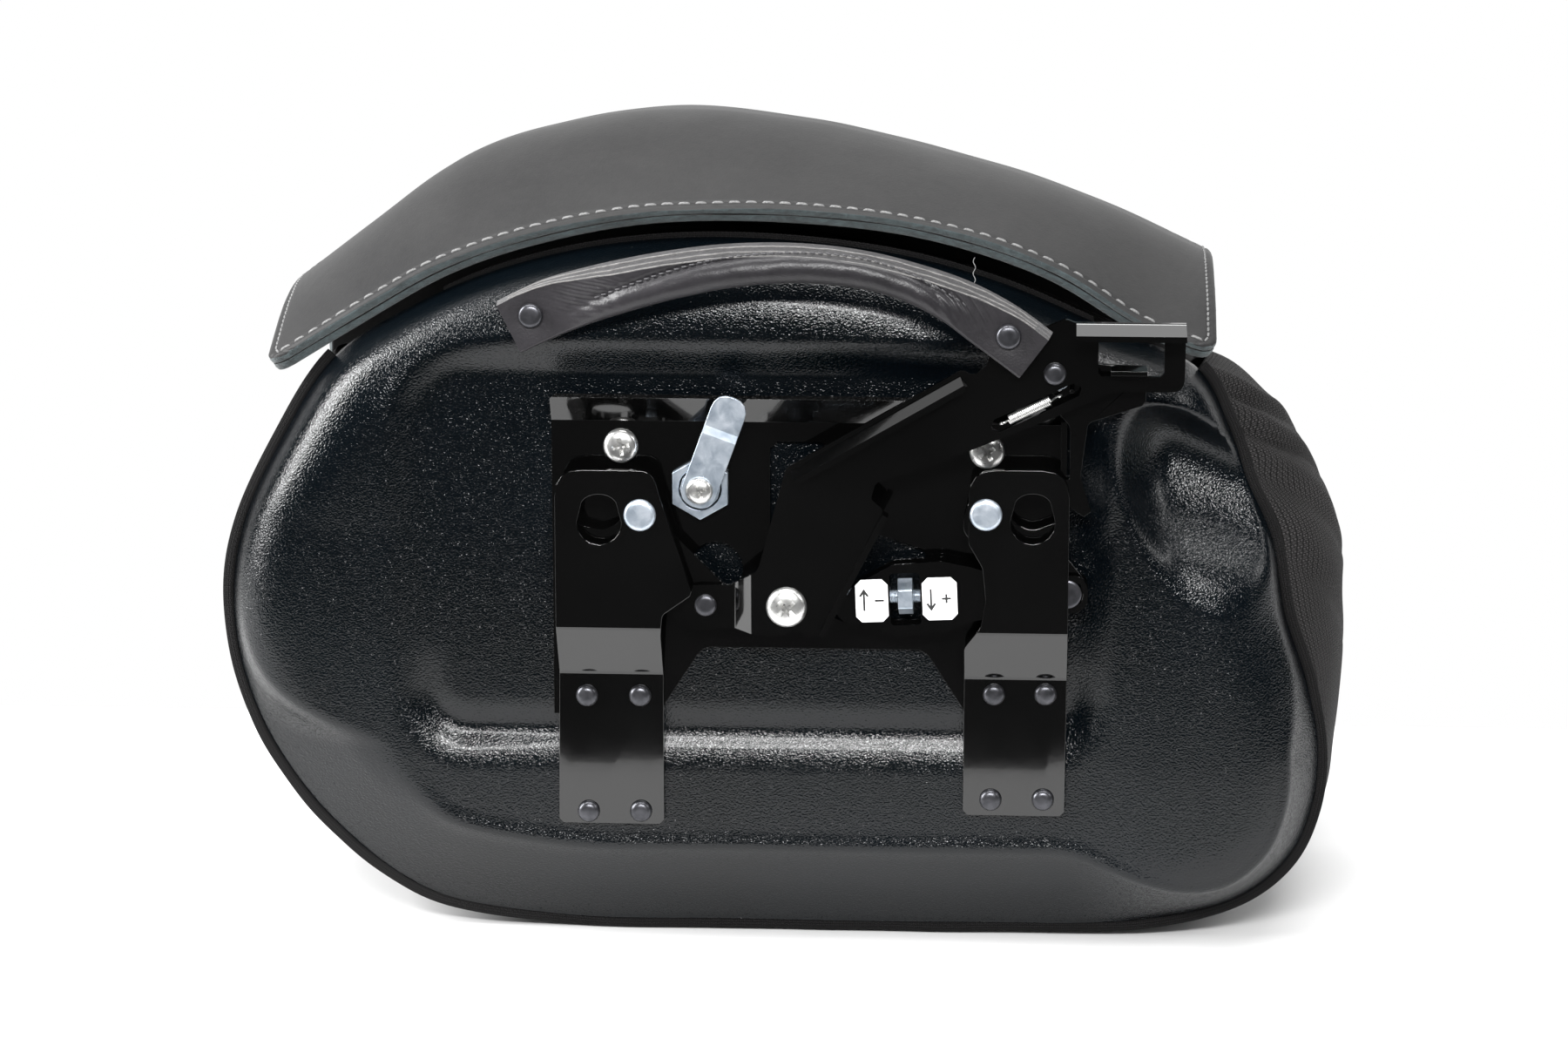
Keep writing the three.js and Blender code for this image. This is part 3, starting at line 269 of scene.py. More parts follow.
def nylon_weave(name, pitch_mm, dark, light, gloss=0.5):
    """Ballistic nylon: pairs of flat yarns in a basket weave, with painted shade in the gaps between the
    yarns.
    """
    s = Shader(name, Specular_IOR_Level=0.12, Sheen_Weight=0.01, Sheen_Roughness=0.4)
    height = weave_height(s, pitch_mm, s.coordinates(source="UV"))
    fuzz = s.noise(1500, 3)
    gap_shade_and_tone = s.math("ADD", s.math("MULTIPLY", height, 0.85), s.math("MULTIPLY", s.noise(35, 4), 0.2))
    # The colour follows the weave's height: painted shade darkens the gaps between the yarns, plus a random
    # tone.
    s.colour(s.ramp(gap_shade_and_tone, [(0.4, tuple(dark)), (0.92, tuple(light))]))
    s.roughness(s.span(fuzz, gloss, gloss + 0.2))
    first = s.bump(height, 0.8, 1.0)
    s.bump(fuzz, 0.05, 0.5, first)
    return s.material


def leather(name, dark, light, rough, pore_scale=900, crease_scale=60):
    """Smooth-grain leather: cloudy dye, fine pores and faint creases."""
    s = Shader(name, Specular_IOR_Level=0.3, Sheen_Weight=0.04, Sheen_Roughness=0.5)
    cloud = s.noise(7, 6, 0.62, 0.4)
    speck = s.noise(300, 5, 0.7)
    both = s.math("ADD", s.math("MULTIPLY", cloud, 0.75), s.math("MULTIPLY", speck, 0.25))
    s.colour(s.ramp(both, [(0.32, tuple(dark)), (0.68, tuple(light))]))
    s.roughness(s.span(s.noise(24, 5), rough - 0.08, rough + 0.1))
    pores = s.cells(pore_scale, "F1")
    creases = s.noise(crease_scale, 6, 0.68, 0.8)
    first = s.bump(creases, 0.35, 0.4)
    second = s.bump(pores, 0.09, 0.55, first)
    s.bump(s.noise(2400, 2), 0.03, 0.5, second)
    return s.material


def raw_edge(name, dark, light):
    """The cut edge of the leather: matted fibres, with painted shade darkening the hollows between them."""
    s = Shader(name, Specular_IOR_Level=0.2, Sheen_Weight=0.2, Sheen_Roughness=0.6)
    fibres = s.noise(520, 6, 0.75, 1.2, s.coordinates((0.45, 1, 1)))
    patches = s.noise(60, 4, 0.6)
    both = s.math("ADD", s.math("MULTIPLY", fibres, 0.7), s.math("MULTIPLY", patches, 0.3))
    # The fibre height that raises the bump also sets the colour: painted shade in the hollows, plus random
    # patches of tone.
    s.colour(s.ramp(both, [(0.34, tuple(dark)), (0.66, tuple(light))]))
    s.roughness(s.span(fibres, 0.7, 0.95))
    s.bump(fibres, 0.5, 0.8)
    return s.material


def thread(name, dark, light):
    """Twisted bonded thread, with painted shade in the grooves of the twist."""
    s = Shader(name, Specular_IOR_Level=0.4)
    twist = s.noise(1400, 3, 0.6, 0, s.coordinates((1, 1, 2.5)))
    # The twist that raises the bump also sets the colour: painted shade in its grooves, lighter on its
    # crests.
    s.colour(s.ramp(twist, [(0.3, tuple(dark)), (0.75, tuple(light))]))
    s.roughness(s.span(twist, 0.45, 0.7))
    s.bump(twist, 0.08, 0.7)
    return s.material


def label_film(name, shade, rough):
    s = Shader(name, Specular_IOR_Level=0.45)
    s.colour(s.ramp(s.noise(300, 3), [(0.3, shade * 0.93), (0.8, shade)]))
    s.roughness(s.span(s.noise(200, 3), rough, rough + 0.1))
    s.bump(s.noise(900, 2), 0.01, 0.3)
    return s.material


def stage_paint(name, shade, emission=0.0):
    s = Shader(name, Roughness=0.9, Specular_IOR_Level=0.1)
    s.colour(s.ramp(s.noise(3, 2), [(0.2, shade), (0.8, shade)]))
    if emission:
        s.principled.inputs["Emission Color"].default_value = (1, 1, 1, 1)
        s.principled.inputs["Emission Strength"].default_value = emission
    return s.material


PLASTIC = shell_plastic()
COAT = plate_coat()
RIVET = rivet_black()
ZINC = zinc_plate()
STEEL = stainless()
NYLON = nylon_weave("nylon_weave", 1.25, (0.0002, 0.0002, 0.0002), (0.034, 0.032, 0.032))
BINDING = nylon_weave("nylon_binding", 1.0, (0.0002, 0.0002, 0.0002), (0.015, 0.014, 0.0145), 0.5)
LID_HIDE = leather("lid_hide", (0.004, 0.004, 0.0045), (0.017, 0.0167, 0.0165), 0.54)
GRIP_HIDE = leather("grip_hide", (0.004, 0.0038, 0.0045), (0.019, 0.0175, 0.02), 0.34, 1100, 150)
RAW_EDGE = raw_edge("raw_edge", (0.0015, 0.003, 0.0035), (0.034, 0.049, 0.052))
GRIP_EDGE = raw_edge("grip_raw_edge", (0.006, 0.0058, 0.0062), (0.03, 0.0285, 0.03))
PALE_EDGE = raw_edge("grip_pale_edge", (0.035, 0.033, 0.033), (0.16, 0.155, 0.15))
THREAD = thread("grey_thread", (0.045, 0.045, 0.046), (0.19, 0.19, 0.188))
DARK_THREAD = thread("dark_thread", (0.02, 0.02, 0.022), (0.07, 0.068, 0.072))
LABEL = label_film("label_film", 0.9, 0.35)
INK = label_film("label_ink", 0.02, 0.4)


def set_studio():
    scene = bpy.context.scene
    scene.view_settings.view_transform = "Standard"
    scene.view_settings.look = "None"
    world = bpy.data.worlds.new("studio")
    world.use_nodes = True
    world.node_tree.nodes["Background"].inputs[0].default_value = (1, 1, 1, 1)
    world.node_tree.nodes["Background"].inputs[1].default_value = 1.0
    scene.world = world
    add_camera((0, -0.079, 0.187), 3.5, 12, 2.0, 104)
    white = stage_paint("table_white", 0.6)
    dark = stage_paint("dark_hall", 0.004)
    add_card("floor", [(-3, -3, 0), (3, -3, 0), (3, 0.3, 0), (-3, 0.3, 0)], white)
    near, far, side, high = -0.41, -4.0, 3.6, 3.4
    low, end = 0.004, 0.5
    floor = [(-side, far, low), (side, far, low), (side, near, low), (-side, near, low)]
    front = [(-side, far, 0), (side, far, 0), (side, far, high), (-side, far, high)]
    ceiling = [(-side, far, high), (side, far, high), (side, end, high), (-side, end, high)]
    for name, corners in (("dark_floor", floor), ("dark_front", front), ("dark_ceiling", ceiling)):
        add_card(name, corners, dark, True)
    for name, x in (("dark_left", -side), ("dark_right", side)):
        add_card(name, [(x, far, 0), (x, 3, 0), (x, 3, high), (x, far, high)], dark, True)
    middle = (0, -0.08, 0.18)
    add_light("softbox_left", (-1.7, -0.5, 1.0), middle, (0.6, 1.3), 85)
    add_light("softbox_front", (0.1, -2.1, 1.32), middle, (1.2, 0.24), 75)
    add_light("softbox_over", (0, -0.47, 2.3), middle, (2.4, 0.4), 55)
    add_light("softbox_right", (1.7, -0.6, 1.3), middle, (0.4, 0.7), 8)


set_studio()


# ---------- geometry helpers ----------
def smoothstep(low, high, value):
    t = np.clip((value - low) / (high - low), 0, 1)
    return t * t * (3 - 2 * t)


def soft_min(a, b, blend):
    h = np.clip(0.5 + 0.5 * (b - a) / blend, 0, 1)
    return b * (1 - h) + a * h - blend * h * (1 - h)


def place(points):
    """Millimetres in the bag's frame to metres in the row frame."""
    return (np.asarray(points, float).reshape(-1, 3) + (0, SEAM_Y, 0)) * MM


def knot_curve(knots, steps, closed=False):
    """Points on a centripetal Catmull-Rom curve through the knots, with that many steps to a span."""
    knots = np.array(knots, float)
    count = len(knots)
    out = []
    for i in range(count if closed else count - 1):
        if closed:
            p0, p1, p2, p3 = knots[[(i - 1) % count, i, (i + 1) % count, (i + 2) % count]]
        else:
            p1, p2 = knots[i], knots[i + 1]
            p0 = knots[i - 1] if i > 0 else 2 * p1 - p2
            p3 = knots[i + 2] if i + 2 < count else 2 * p2 - p1
        d0, d1, d2 = (np.linalg.norm(b - a) ** 0.5 for a, b in ((p0, p1), (p1, p2), (p2, p3)))
        m1 = ((p1 - p0) / d0 - (p2 - p0) / (d0 + d1) + (p2 - p1) / d1) * d1
        m2 = ((p2 - p1) / d1 - (p3 - p1) / (d1 + d2) + (p3 - p2) / d2) * d1
        for k in range(steps):
            t = k / steps
            h = (2 * t**3 - 3 * t**2 + 1, t**3 - 2 * t**2 + t, 3 * t**2 - 2 * t**3, t**3 - t**2)
            out.append(h[0] * p1 + h[1] * m1 + h[2] * p2 + h[3] * m2)
    if not closed:
        out.append(knots[-1])
    return np.array(out)


def height_through(knots):
    """z as a function of x, through listed knots."""
    curve = knot_curve(knots, 16)
    return lambda x: np.interp(x, curve[:, 0], curve[:, 1])


def unit(vectors):
    return vectors / np.maximum(np.linalg.norm(vectors, axis=-1, keepdims=True), 1e-9)


def grid_normals(grid):
    along = np.gradient(grid, axis=0)
    across = np.gradient(grid, axis=1)
    return unit(np.cross(along, across))


def waves(points, wavelength, seed):
    """Smooth seeded noise, about -1 to 1, at points in millimetres."""
    rng = np.random.default_rng(seed)
    total = np.zeros(points.shape[:-1])
    for _ in range(7):
        direction = rng.normal(size=3)
        direction *= 2 * math.pi / (wavelength * rng.uniform(0.7, 1.5)) / np.linalg.norm(direction)
        total += np.sin(points @ direction + rng.uniform(0, 2 * math.pi))
    return total / 3.2


def new_piece(name, points, faces, materials, body=None, picks=None, uv=None, smooth=True):
    """A mesh piece from millimetre points; picks gives each face's material."""
    mesh = bpy.data.meshes.new(name)
    mesh.from_pydata(place(points).tolist(), [], [list(map(int, f)) for f in faces])
    for material in materials if isinstance(materials, (list, tuple)) else [materials]:
        mesh.materials.append(material)
    if picks is not None:
        mesh.polygons.foreach_set("material_index", np.asarray(picks, np.int32))
    if uv is not None:
        layer = mesh.uv_layers.new(name="UVMap")
        corners = np.array([loop.vertex_index for loop in mesh.loops])
        layer.data.foreach_set("uv", (np.asarray(uv, float)[corners] * MM).ravel())
    if smooth:
        mesh.shade_smooth()
    mesh.update()
    obj = bpy.data.objects.new(name, mesh)
    bpy.context.scene.collection.objects.link(obj)
    if body:
        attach(obj, body)
    return obj


def finish_piece(obj, slot, *nodes):
    if nodes:
        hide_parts(*nodes)
    return obj


def quads(rows, columns, wrap=False, flip=False, start=0):
    faces = []
    for i in range(rows - 1):
        for j in range(columns if wrap else columns - 1):
            k = (j + 1) % columns
            a, b, c, d = (start + i * columns + j, start + i * columns + k,
                          start + (i + 1) * columns + k, start + (i + 1) * columns + j)
            faces.append((a, d, c, b) if flip else (a, b, c, d))
    return faces


def outward_mesh(obj):
    """Turns a closed mesh's faces outwards."""
    bm = bmesh.new()
    bm.from_mesh(obj.data)
    bmesh.ops.recalc_face_normals(bm, faces=bm.faces)
    bm.to_mesh(obj.data)
    bm.free()


def sheet_piece(name, upper, lower, materials, body, rim=3, roughen=0.0, uv=None):
    """A closed sheet between two grids; its rim has rows of its own and the second material."""
    rows, columns = upper.shape[:2]
    faces = quads(rows, columns) + quads(rows, columns, flip=True, start=rows * columns)
    points = [upper.reshape(-1, 3), lower.reshape(-1, 3)]
    border = [(0, j) for j in range(columns)] + [(i, columns - 1) for i in range(1, rows)]
    border += [(rows - 1, j) for j in range(columns - 2, -1, -1)] + [(i, 0) for i in range(rows - 2, 0, -1)]
    index = np.array([i * columns + j for i, j in border])
    top, bottom = upper.reshape(-1, 3)[index], lower.reshape(-1, 3)[index]
    middle = upper.reshape(-1, 3).mean(0)
    out = unit(top - np.roll(top, 1, 0))
    out = unit(np.cross(out, unit(top - bottom)))
    if np.mean(np.sum(out * (top - middle), 1)) < 0:
        out = -out
    rings = [index]
    used = 2 * rows * columns
    for r in range(1, rim):
        t = r / rim
        ring = top * (1 - t) + bottom * t
        swell = 0.25 * math.sin(math.pi * t) + roughen * waves(ring * (1, 1, 1), 1.6, 90 + r)
        points.append(ring + out * np.asarray(swell)[..., None])
        rings.append(used + np.arange(len(index)))
        used += len(index)
    rings.append(rows * columns + index)
    surface = len(faces)
    for a, b in zip(rings, rings[1:]):
        for k in range(len(index)):
            m = (k + 1) % len(index)
            faces.append((a[k], b[k], b[m], a[m]))
    picks = [0] * surface + [1] * (len(faces) - surface)
    everything = np.concatenate(points)
    if uv is not None:
        flat = uv.reshape(-1, 2)
        uv = np.concatenate([flat, flat] + [flat[index]] * (rim - 1))
    obj = new_piece(name, everything, faces, materials, body, picks, uv)
    outward_mesh(obj)
    return obj


def tube_points(path, radius, sides, up=(0, -1, 0)):
    """Rings round a path; radius is one number, or one for each point."""
    path = np.asarray(path, float)
    tangent = unit(np.gradient(path, axis=0))
    side = unit(np.cross(tangent, np.broadcast_to(np.array(up, float), path.shape)))
    top = np.cross(side, tangent)
    angles = np.arange(sides) * 2 * math.pi / sides
    radius = np.broadcast_to(np.asarray(radius, float), (len(path),))
    ring = side[:, None] * np.cos(angles)[None, :, None] + top[:, None] * np.sin(angles)[None, :, None]
    return path[:, None] + ring * radius[:, None, None]


def tube_piece(name, path, radius, sides, material, body, up=(0, -1, 0)):
    rings = tube_points(path, radius, sides, up)
    count = len(rings)
    faces = quads(count, sides, wrap=True)
    faces += [tuple(range(sides))[::-1], tuple((count - 1) * sides + k for k in range(sides))]
    obj = new_piece(name, rings.reshape(-1, 3), faces, material, body)
    outward_mesh(obj)
    return obj


def lathe_points(profile, centre, segments=48):
    """Rings of [radius, y] turned round an axis along Y through centre [x, z]."""
    angles = np.arange(segments) * 2 * math.pi / segments
    rows = []
    for radius, y in profile:
        row = np.stack([centre[0] + radius * np.cos(angles), np.full(segments, y),
                        centre[1] + radius * np.sin(angles)], 1)
        rows.append(row)
    return np.array(rows)


def lathe_piece(name, profile, centre, material, body, segments=48):
    """A turned piece; the profile starts and ends on the axis, or closes on itself."""
    rows = lathe_points(profile, centre, segments)
    obj = new_piece(name, rows.reshape(-1, 3), quads(len(rows), segments, wrap=True), material, body)
    bm = bmesh.new()
    bm.from_mesh(obj.data)
    bmesh.ops.remove_doubles(bm, verts=bm.verts, dist=1e-7)
    bmesh.ops.recalc_face_normals(bm, faces=bm.faces)
    bm.to_mesh(obj.data)
    bm.free()
    obj.data.shade_smooth()
    obj.data.set_sharp_from_angle(angle=math.radians(40))
    return obj


def node_centre(node):
    """A node's middle, in millimetres in the bag's frame."""
    low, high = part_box(node)
    middle = (low + high) / 2 / MM
    return np.array([middle.x, middle.y - SEAM_Y, middle.z])


def node_reach(node):
    """Lowest and highest Y of a node, in the bag's frame."""
    low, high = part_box(node)
    return low.y / MM - SEAM_Y, high.y / MM - SEAM_Y


def refine(node, material, slot, bevel_mm=0.35, segments=2, sharp=28):
    """The CAD node's own shape with clean faces and small rounded edges."""
    source = frame["nodes"][node]
    bm = bmesh.new()
    bm.from_mesh(source.data)
    bmesh.ops.remove_doubles(bm, verts=bm.verts, dist=2e-6)
    bmesh.ops.dissolve_limit(bm, angle_limit=math.radians(1.0), verts=bm.verts, edges=bm.edges)
    limit = math.radians(sharp)
    edges = [e for e in bm.edges if len(e.link_faces) == 2 and e.calc_face_angle(0) > limit]
    bmesh.ops.bevel(bm, geom=edges, offset=bevel_mm * MM, segments=segments, profile=0.6,
                    affect="EDGES", clamp_overlap=True)
    bmesh.ops.recalc_face_normals(bm, faces=bm.faces)
    mesh = bpy.data.meshes.new(node + "_finish")
    bm.to_mesh(mesh)
    bm.free()
    mesh.materials.clear()
    mesh.materials.append(material)
    mesh.shade_smooth()
    mesh.set_sharp_from_angle(angle=math.radians(50))
    obj = bpy.data.objects.new(node + "_finish", mesh)
    bpy.context.scene.collection.objects.link(obj)
    weighted = obj.modifiers.new("weighted", "WEIGHTED_NORMAL")
    weighted.keep_sharp = True
    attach(obj, source["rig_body"])
    return finish_piece(obj, slot, node)


def body_of(node):
    return frame["nodes"][node]["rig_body"]


# ---------- the bag's outline ----------
# Right mouth corner, down the right side, along the bottom, up the left side and over the top.
SIDE_KNOTS = [
    (181, 258), (195, 233), (204, 208), (215, 183), (221, 150), (231, 120), (237, 90), (235, 62), (225, 38),
    (203, 19), (160, 8), (80, 5.4), (-20, 5.2), (-102, 6), (-162, 17), (-200, 45), (-226, 78), (-241, 112),
    (-246, 150), (-240, 186), (-222, 224), (-198, 260),
]
TOP_KNOTS = [(-168, 280), (-128, 298), (-80, 310), (-25, 314), (45, 308), (95, 295), (140, 276)]
EDGE_STEPS = 14
EDGE = knot_curve(SIDE_KNOTS + TOP_KNOTS, EDGE_STEPS, closed=True)
SIDE_POINTS = (len(SIDE_KNOTS) - 1) * EDGE_STEPS + 1


def outline_normals(ring):
    tangent = unit(np.roll(ring, -1, 0) - np.roll(ring, 1, 0))
    normal = np.stack([-tangent[:, 1], tangent[:, 0]], 1)
    return normal if normal[0, 0] > 0 else -normal


OUTWARD = outline_normals(EDGE)


def edge_distance(points):
    """Distance in the XZ plane from points to the outline."""
    a, b = EDGE, np.roll(EDGE, -1, 0)
    out = np.empty(len(points))
    span = b - a
    length = np.sum(span * span, 1)
    for start in range(0, len(points), 2000):
        p = points[start:start + 2000, None]
        t = np.clip(np.sum((p - a) * span, 2) / length, 0, 1)
        out[start:start + 2000] = np.sqrt(np.sum((a + span * t[..., None] - p) ** 2, 2).min(1))
    return out


# ---------- back shell ----------
SHELL_WALL = 3.0
SHELL_DEPTH = 36.0
LAND_DEPTH = 28.7
RECESS_DEPTH = 26.0
RECESS = {"x0": -163, "x1": 137, "z0": 91, "z1": 265, "radius": 26}


def recess_distance(x, z):
    """Signed distance from the recess's rounded rectangle, negative inside."""
    cx, cz = (RECESS["x0"] + RECESS["x1"]) / 2, (RECESS["z0"] + RECESS["z1"]) / 2
    hx, hz = (RECESS["x1"] - RECESS["x0"]) / 2, (RECESS["z1"] - RECESS["z0"]) / 2
    qx = np.abs(x - cx) - hx + RECESS["radius"]
    qz = np.abs(z - cz) - hz + RECESS["radius"]
    outside = np.hypot(np.maximum(qx, 0), np.maximum(qz, 0))
    return outside + np.minimum(np.maximum(qx, qz), 0) - RECESS["radius"]


# The scoop's section, upwards from its lip: how far its floor stands from the seam plane.
SCOOP_SECTION = knot_curve([(-16, 50), (-6, 37.5), (0, 34), (6, 30.3), (12, 25.8), (20, 18.8), (28, 12.6),
                            (34, 9.2), (41, 6.4), (48, 4.4), (56, 4.2), (63, 7), (69, 15), (74, 27),
                            (80, 42), (110, 90)], 8)
SCOOP_LIP = height_through([(96, 236), (118, 226), (130, 206), (149, 184), (167, 172), (187, 165),
                            (209, 158), (240, 150)])


def scoop_floor(x, z):
    """The scoop moulded into the right side, to clear a shock absorber; its lower lip is a rounded ridge."""
    above = (z - SCOOP_LIP(x)) * (1 + 0.002 * (x - 180))
    section = np.interp(above, SCOOP_SECTION[:, 0], SCOOP_SECTION[:, 1])
    # The left end closes along a curve that leans right towards the top.
    from_left = x - (136 + 0.0075 * (z - 205) ** 2)
    end_wall = 44 * (1 - smoothstep(-10, 34, from_left)) ** 1.3
    return section + end_wall + 60 * (1 - smoothstep(-60, -6, from_left))


def shell_depth(x, z, inset):
    """How far the shell's face stands out of the seam plane."""
    wall_reach, squareness = 36, 2.25
    t = np.clip(inset / wall_reach, 0, 1)
    share = (1 - (1 - t) ** squareness) ** (1 / squareness)
    # The brackets stand on a lower land; the right side and the top are deeper.
    right = 0.75 * smoothstep(118, 165, x)
    left = 0.2 * smoothstep(-78, -150, x)
    top = smoothstep(150, 235, z) * (0.5 + 0.5 * smoothstep(-150, -60, x))
    plateau = LAND_DEPTH + (SHELL_DEPTH - LAND_DEPTH) * np.maximum(np.maximum(right, left), top)
    wall = share * plateau
    # Below a crease the lower wall runs back to the edge as one slope.
    steeper = 2.4 * smoothstep(88, 150, z) + 1.2 * smoothstep(120, 205, x)
    slope = 2.5 + (0.64 + steeper) * inset
    wall = soft_min(wall, slope, 1.2 + 6 * smoothstep(-135, -185, x))
    border = recess_distance(x, z)
    depth = RECESS_DEPTH + (wall - RECESS_DEPTH) * smoothstep(-9, 11, border)
    depth = depth - 2.4 * np.exp(-(((border + 8) / 7) ** 2)) * (1 - smoothstep(104, 140, z))
    # A rounded bead runs along the crease.
    bead = np.exp(-(((share * plateau - slope) / 2.6) ** 2))
    depth = depth + bead * smoothstep(-185, -140, x) * (1 - smoothstep(95, 125, z))
    lip_blend = 8.0
    return soft_min(depth, scoop_floor(x, z), lip_blend)


def back_shell():
    core = np.stack([np.clip(EDGE[:, 0] * 0.42, -80, 72), np.full(len(EDGE), 168.0)], 1)
    near_edge = np.array([0, 0.35, 0.8, 1.4, 2.2, 3.2, 4.4, 5.8, 7.4, 9.2, 11.2])
    rings = [EDGE - OUTWARD * inset for inset in near_edge]
    start = rings[-1]
    for k in range(1, 96):
        rings.append(start + (core - start) * (k / 95))
    flat = np.array(rings)
    rows, columns = flat.shape[:2]
    points = flat.reshape(-1, 2)
    inset = edge_distance(points)
    inset[:columns] = 0
    depth = shell_depth(points[:, 0], points[:, 1], inset)
    face = np.stack([points[:, 0], -depth, points[:, 1]], 1).reshape(rows, columns, 3)
    # The rim turns back and the inside follows the outside at the wall's thickness.
    inner_rows = list(range(rows - 1, -1, -4))
    inner = face[inner_rows].copy()
    pull = np.minimum(np.array([inset.reshape(rows, columns)[i] for i in inner_rows]) / 6, 1)[..., None]
    inner[..., 1] = np.minimum(inner[..., 1] + SHELL_WALL, -0.05)
    towards = unit(core - EDGE)
    inner[..., 0] += (1 - pull[..., 0]) * SHELL_WALL * towards[:, 0]
    inner[..., 2] += (1 - pull[..., 0]) * SHELL_WALL * towards[:, 1]
    rim = face[0].copy()
    rim[:, 1] = 0
    grid = np.concatenate([face[::-1], rim[None], inner[::-1]], 0)
    faces = quads(len(grid), columns, wrap=True)
    obj = new_piece("back_shell_moulding", grid.reshape(-1, 3), faces, PLASTIC)
    bm = bmesh.new()
    bm.from_mesh(obj.data)
    bmesh.ops.remove_doubles(bm, verts=bm.verts, dist=0.4 * MM)
    bmesh.ops.recalc_face_normals(bm, faces=bm.faces)
    bm.to_mesh(obj.data)
    bm.free()
    obj.data.shade_smooth()
    obj.data.set_sharp_from_angle(angle=math.radians(60))
    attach(obj, "bag")
    return finish_piece(obj, "shell_plastic", "back_shell")


# ---------- gusset, piping, front panel, bottom plate ----------
MOUTH_DROP = 22.0
FRONT_SPREAD = 1.015


def front_point(ring):
    out = ring.copy()
    out[:, 0] *= FRONT_SPREAD
    out[:, 1] -= MOUTH_DROP * smoothstep(140, 258, ring[:, 1])
    return out


def bulge(ring, share):
    """How far the fabric stands out sideways, deepest a third of the way to the front."""
    x, z = ring[:, 0], ring[:, 1]
    right = 8 * smoothstep(150, 200, x) + 21 * smoothstep(175, 205, x) * smoothstep(75, 165, z)
    left = 5 * smoothstep(-120, -200, x) + 4 * smoothstep(-60, -150, x) * (1 - smoothstep(60, 140, z))
    return (right + left) * math.sin(math.pi * share**0.65) ** 1.2


# Each fold: its height at the seam, how far it falls for each millimetre forwards, half width, depth.
FOLDS = ((249, 0.55, 4.0, 4.6), (233, 0.75, 4.5, 4.0), (209, 0.9, 6.0, 2.8), (176, 1.1, 8.0, 1.6))


def gusset():
    ring, normal = EDGE[:SIDE_POINTS], OUTWARD[:SIDE_POINTS]
    front = front_point(ring)
    end = BAG_DEPTH - 4.5
    shares = np.linspace(0, 1, 76)
    columns = []
    for share in shares:
        flat = ring + (front - ring) * share + normal * bulge(ring, share)[:, None]
        columns.append(np.stack([flat[:, 0], np.full(len(flat), 0.5 + (end - 0.5) * share), flat[:, 1]], 1))
    upper = np.stack(columns, 1)
    slack = np.sin(np.pi * shares)[None, :] ** 0.8
    x, z = ring[:, 0][:, None], ring[:, 1][:, None]
    loose = 0.25 + 0.75 * smoothstep(150, 205, x) * smoothstep(90, 190, z)
    soft = waves(upper * (1, 0.4, 1.0), 60, 5) * 0.9 + waves(upper * (1, 1.0, 0.8), 27, 8) * 0.35
    # Folds fan down and outwards from the mouth's right corner.
    fold = np.zeros_like(soft)
    for line, lean, width, deep in FOLDS:
        away = z - (line - lean * upper[..., 1]) + 1.6 * waves(upper, 34, 12)
        beside = 0.5 * deep * np.exp(-(((away - 2.0 * width) / width) ** 2))
        fold -= deep * np.exp(-((away / width) ** 2)) - beside
    fold *= smoothstep(165, 190, x) * (0.1 + 0.9 * (1 - smoothstep(0.1, 0.42, shares))[None, :])
    fold *= smoothstep(0, 0.05, shares)[None, :]
    rest_clear = smoothstep(9, 26, z)
    push = (soft * loose * slack + fold) * rest_clear
    outwards = np.stack([normal[:, 0], np.zeros(len(normal)), normal[:, 1]], 1)[:, None]
    upper = upper + outwards * push[..., None]
    lower = upper - outwards * 2.2
    length = np.concatenate([[0], np.cumsum(np.linalg.norm(np.diff(ring, axis=0), axis=1))])
    uv = np.stack(np.broadcast_arrays(length[:, None], shares[None, :] * BAG_DEPTH * 0.55), -1)
    obj = sheet_piece("gusset_fabric", upper, lower, [NYLON, BINDING], "bag", uv=uv)
    finish_piece(obj, "nylon_fabric", "gusset")
    return upper


def binding(name, ring, normal, y, node, lean):
    """A folded tape sewn along a seam: a flat loop of fabric that stands out from the edge."""
    width, thick = 5.0, 2.3
    sides = 16
    angles = np.arange(sides) * 2 * math.pi / sides
    out = np.sign(np.cos(angles)) * np.abs(np.cos(angles)) ** 0.8 * width / 2
    along_y = np.sign(np.sin(angles)) * np.abs(np.sin(angles)) ** 0.8 * thick / 2
    rows = []
    wobble = waves(np.stack([ring[:, 0], np.zeros(len(ring)), ring[:, 1]], 1), 38, 3)
    for i, (p, n) in enumerate(zip(ring, normal)):
        shift = 0.4 + width / 2 - 1.2
        radial = shift + out + 0.35 * wobble[i]
        depth = y + along_y + lean * (out + width / 2)
        rows.append(np.stack([p[0] + n[0] * radial, depth, p[1] + n[1] * radial], 1))
    rows = np.array(rows)
    length = np.concatenate([[0], np.cumsum(np.linalg.norm(np.diff(ring, axis=0), axis=1))])
    uv = np.stack(np.broadcast_arrays(length[:, None], (angles / (2 * math.pi) * 15)[None, :]), -1)
    faces = quads(len(rows), sides, wrap=True)
    faces += [tuple(range(sides))[::-1], tuple((len(rows) - 1) * sides + k for k in range(sides))]
    obj = new_piece(name, rows.reshape(-1, 3), faces, BINDING, "bag", uv=uv.reshape(-1, 2))
    outward_mesh(obj)
    return finish_piece(obj, "nylon_fabric", node)


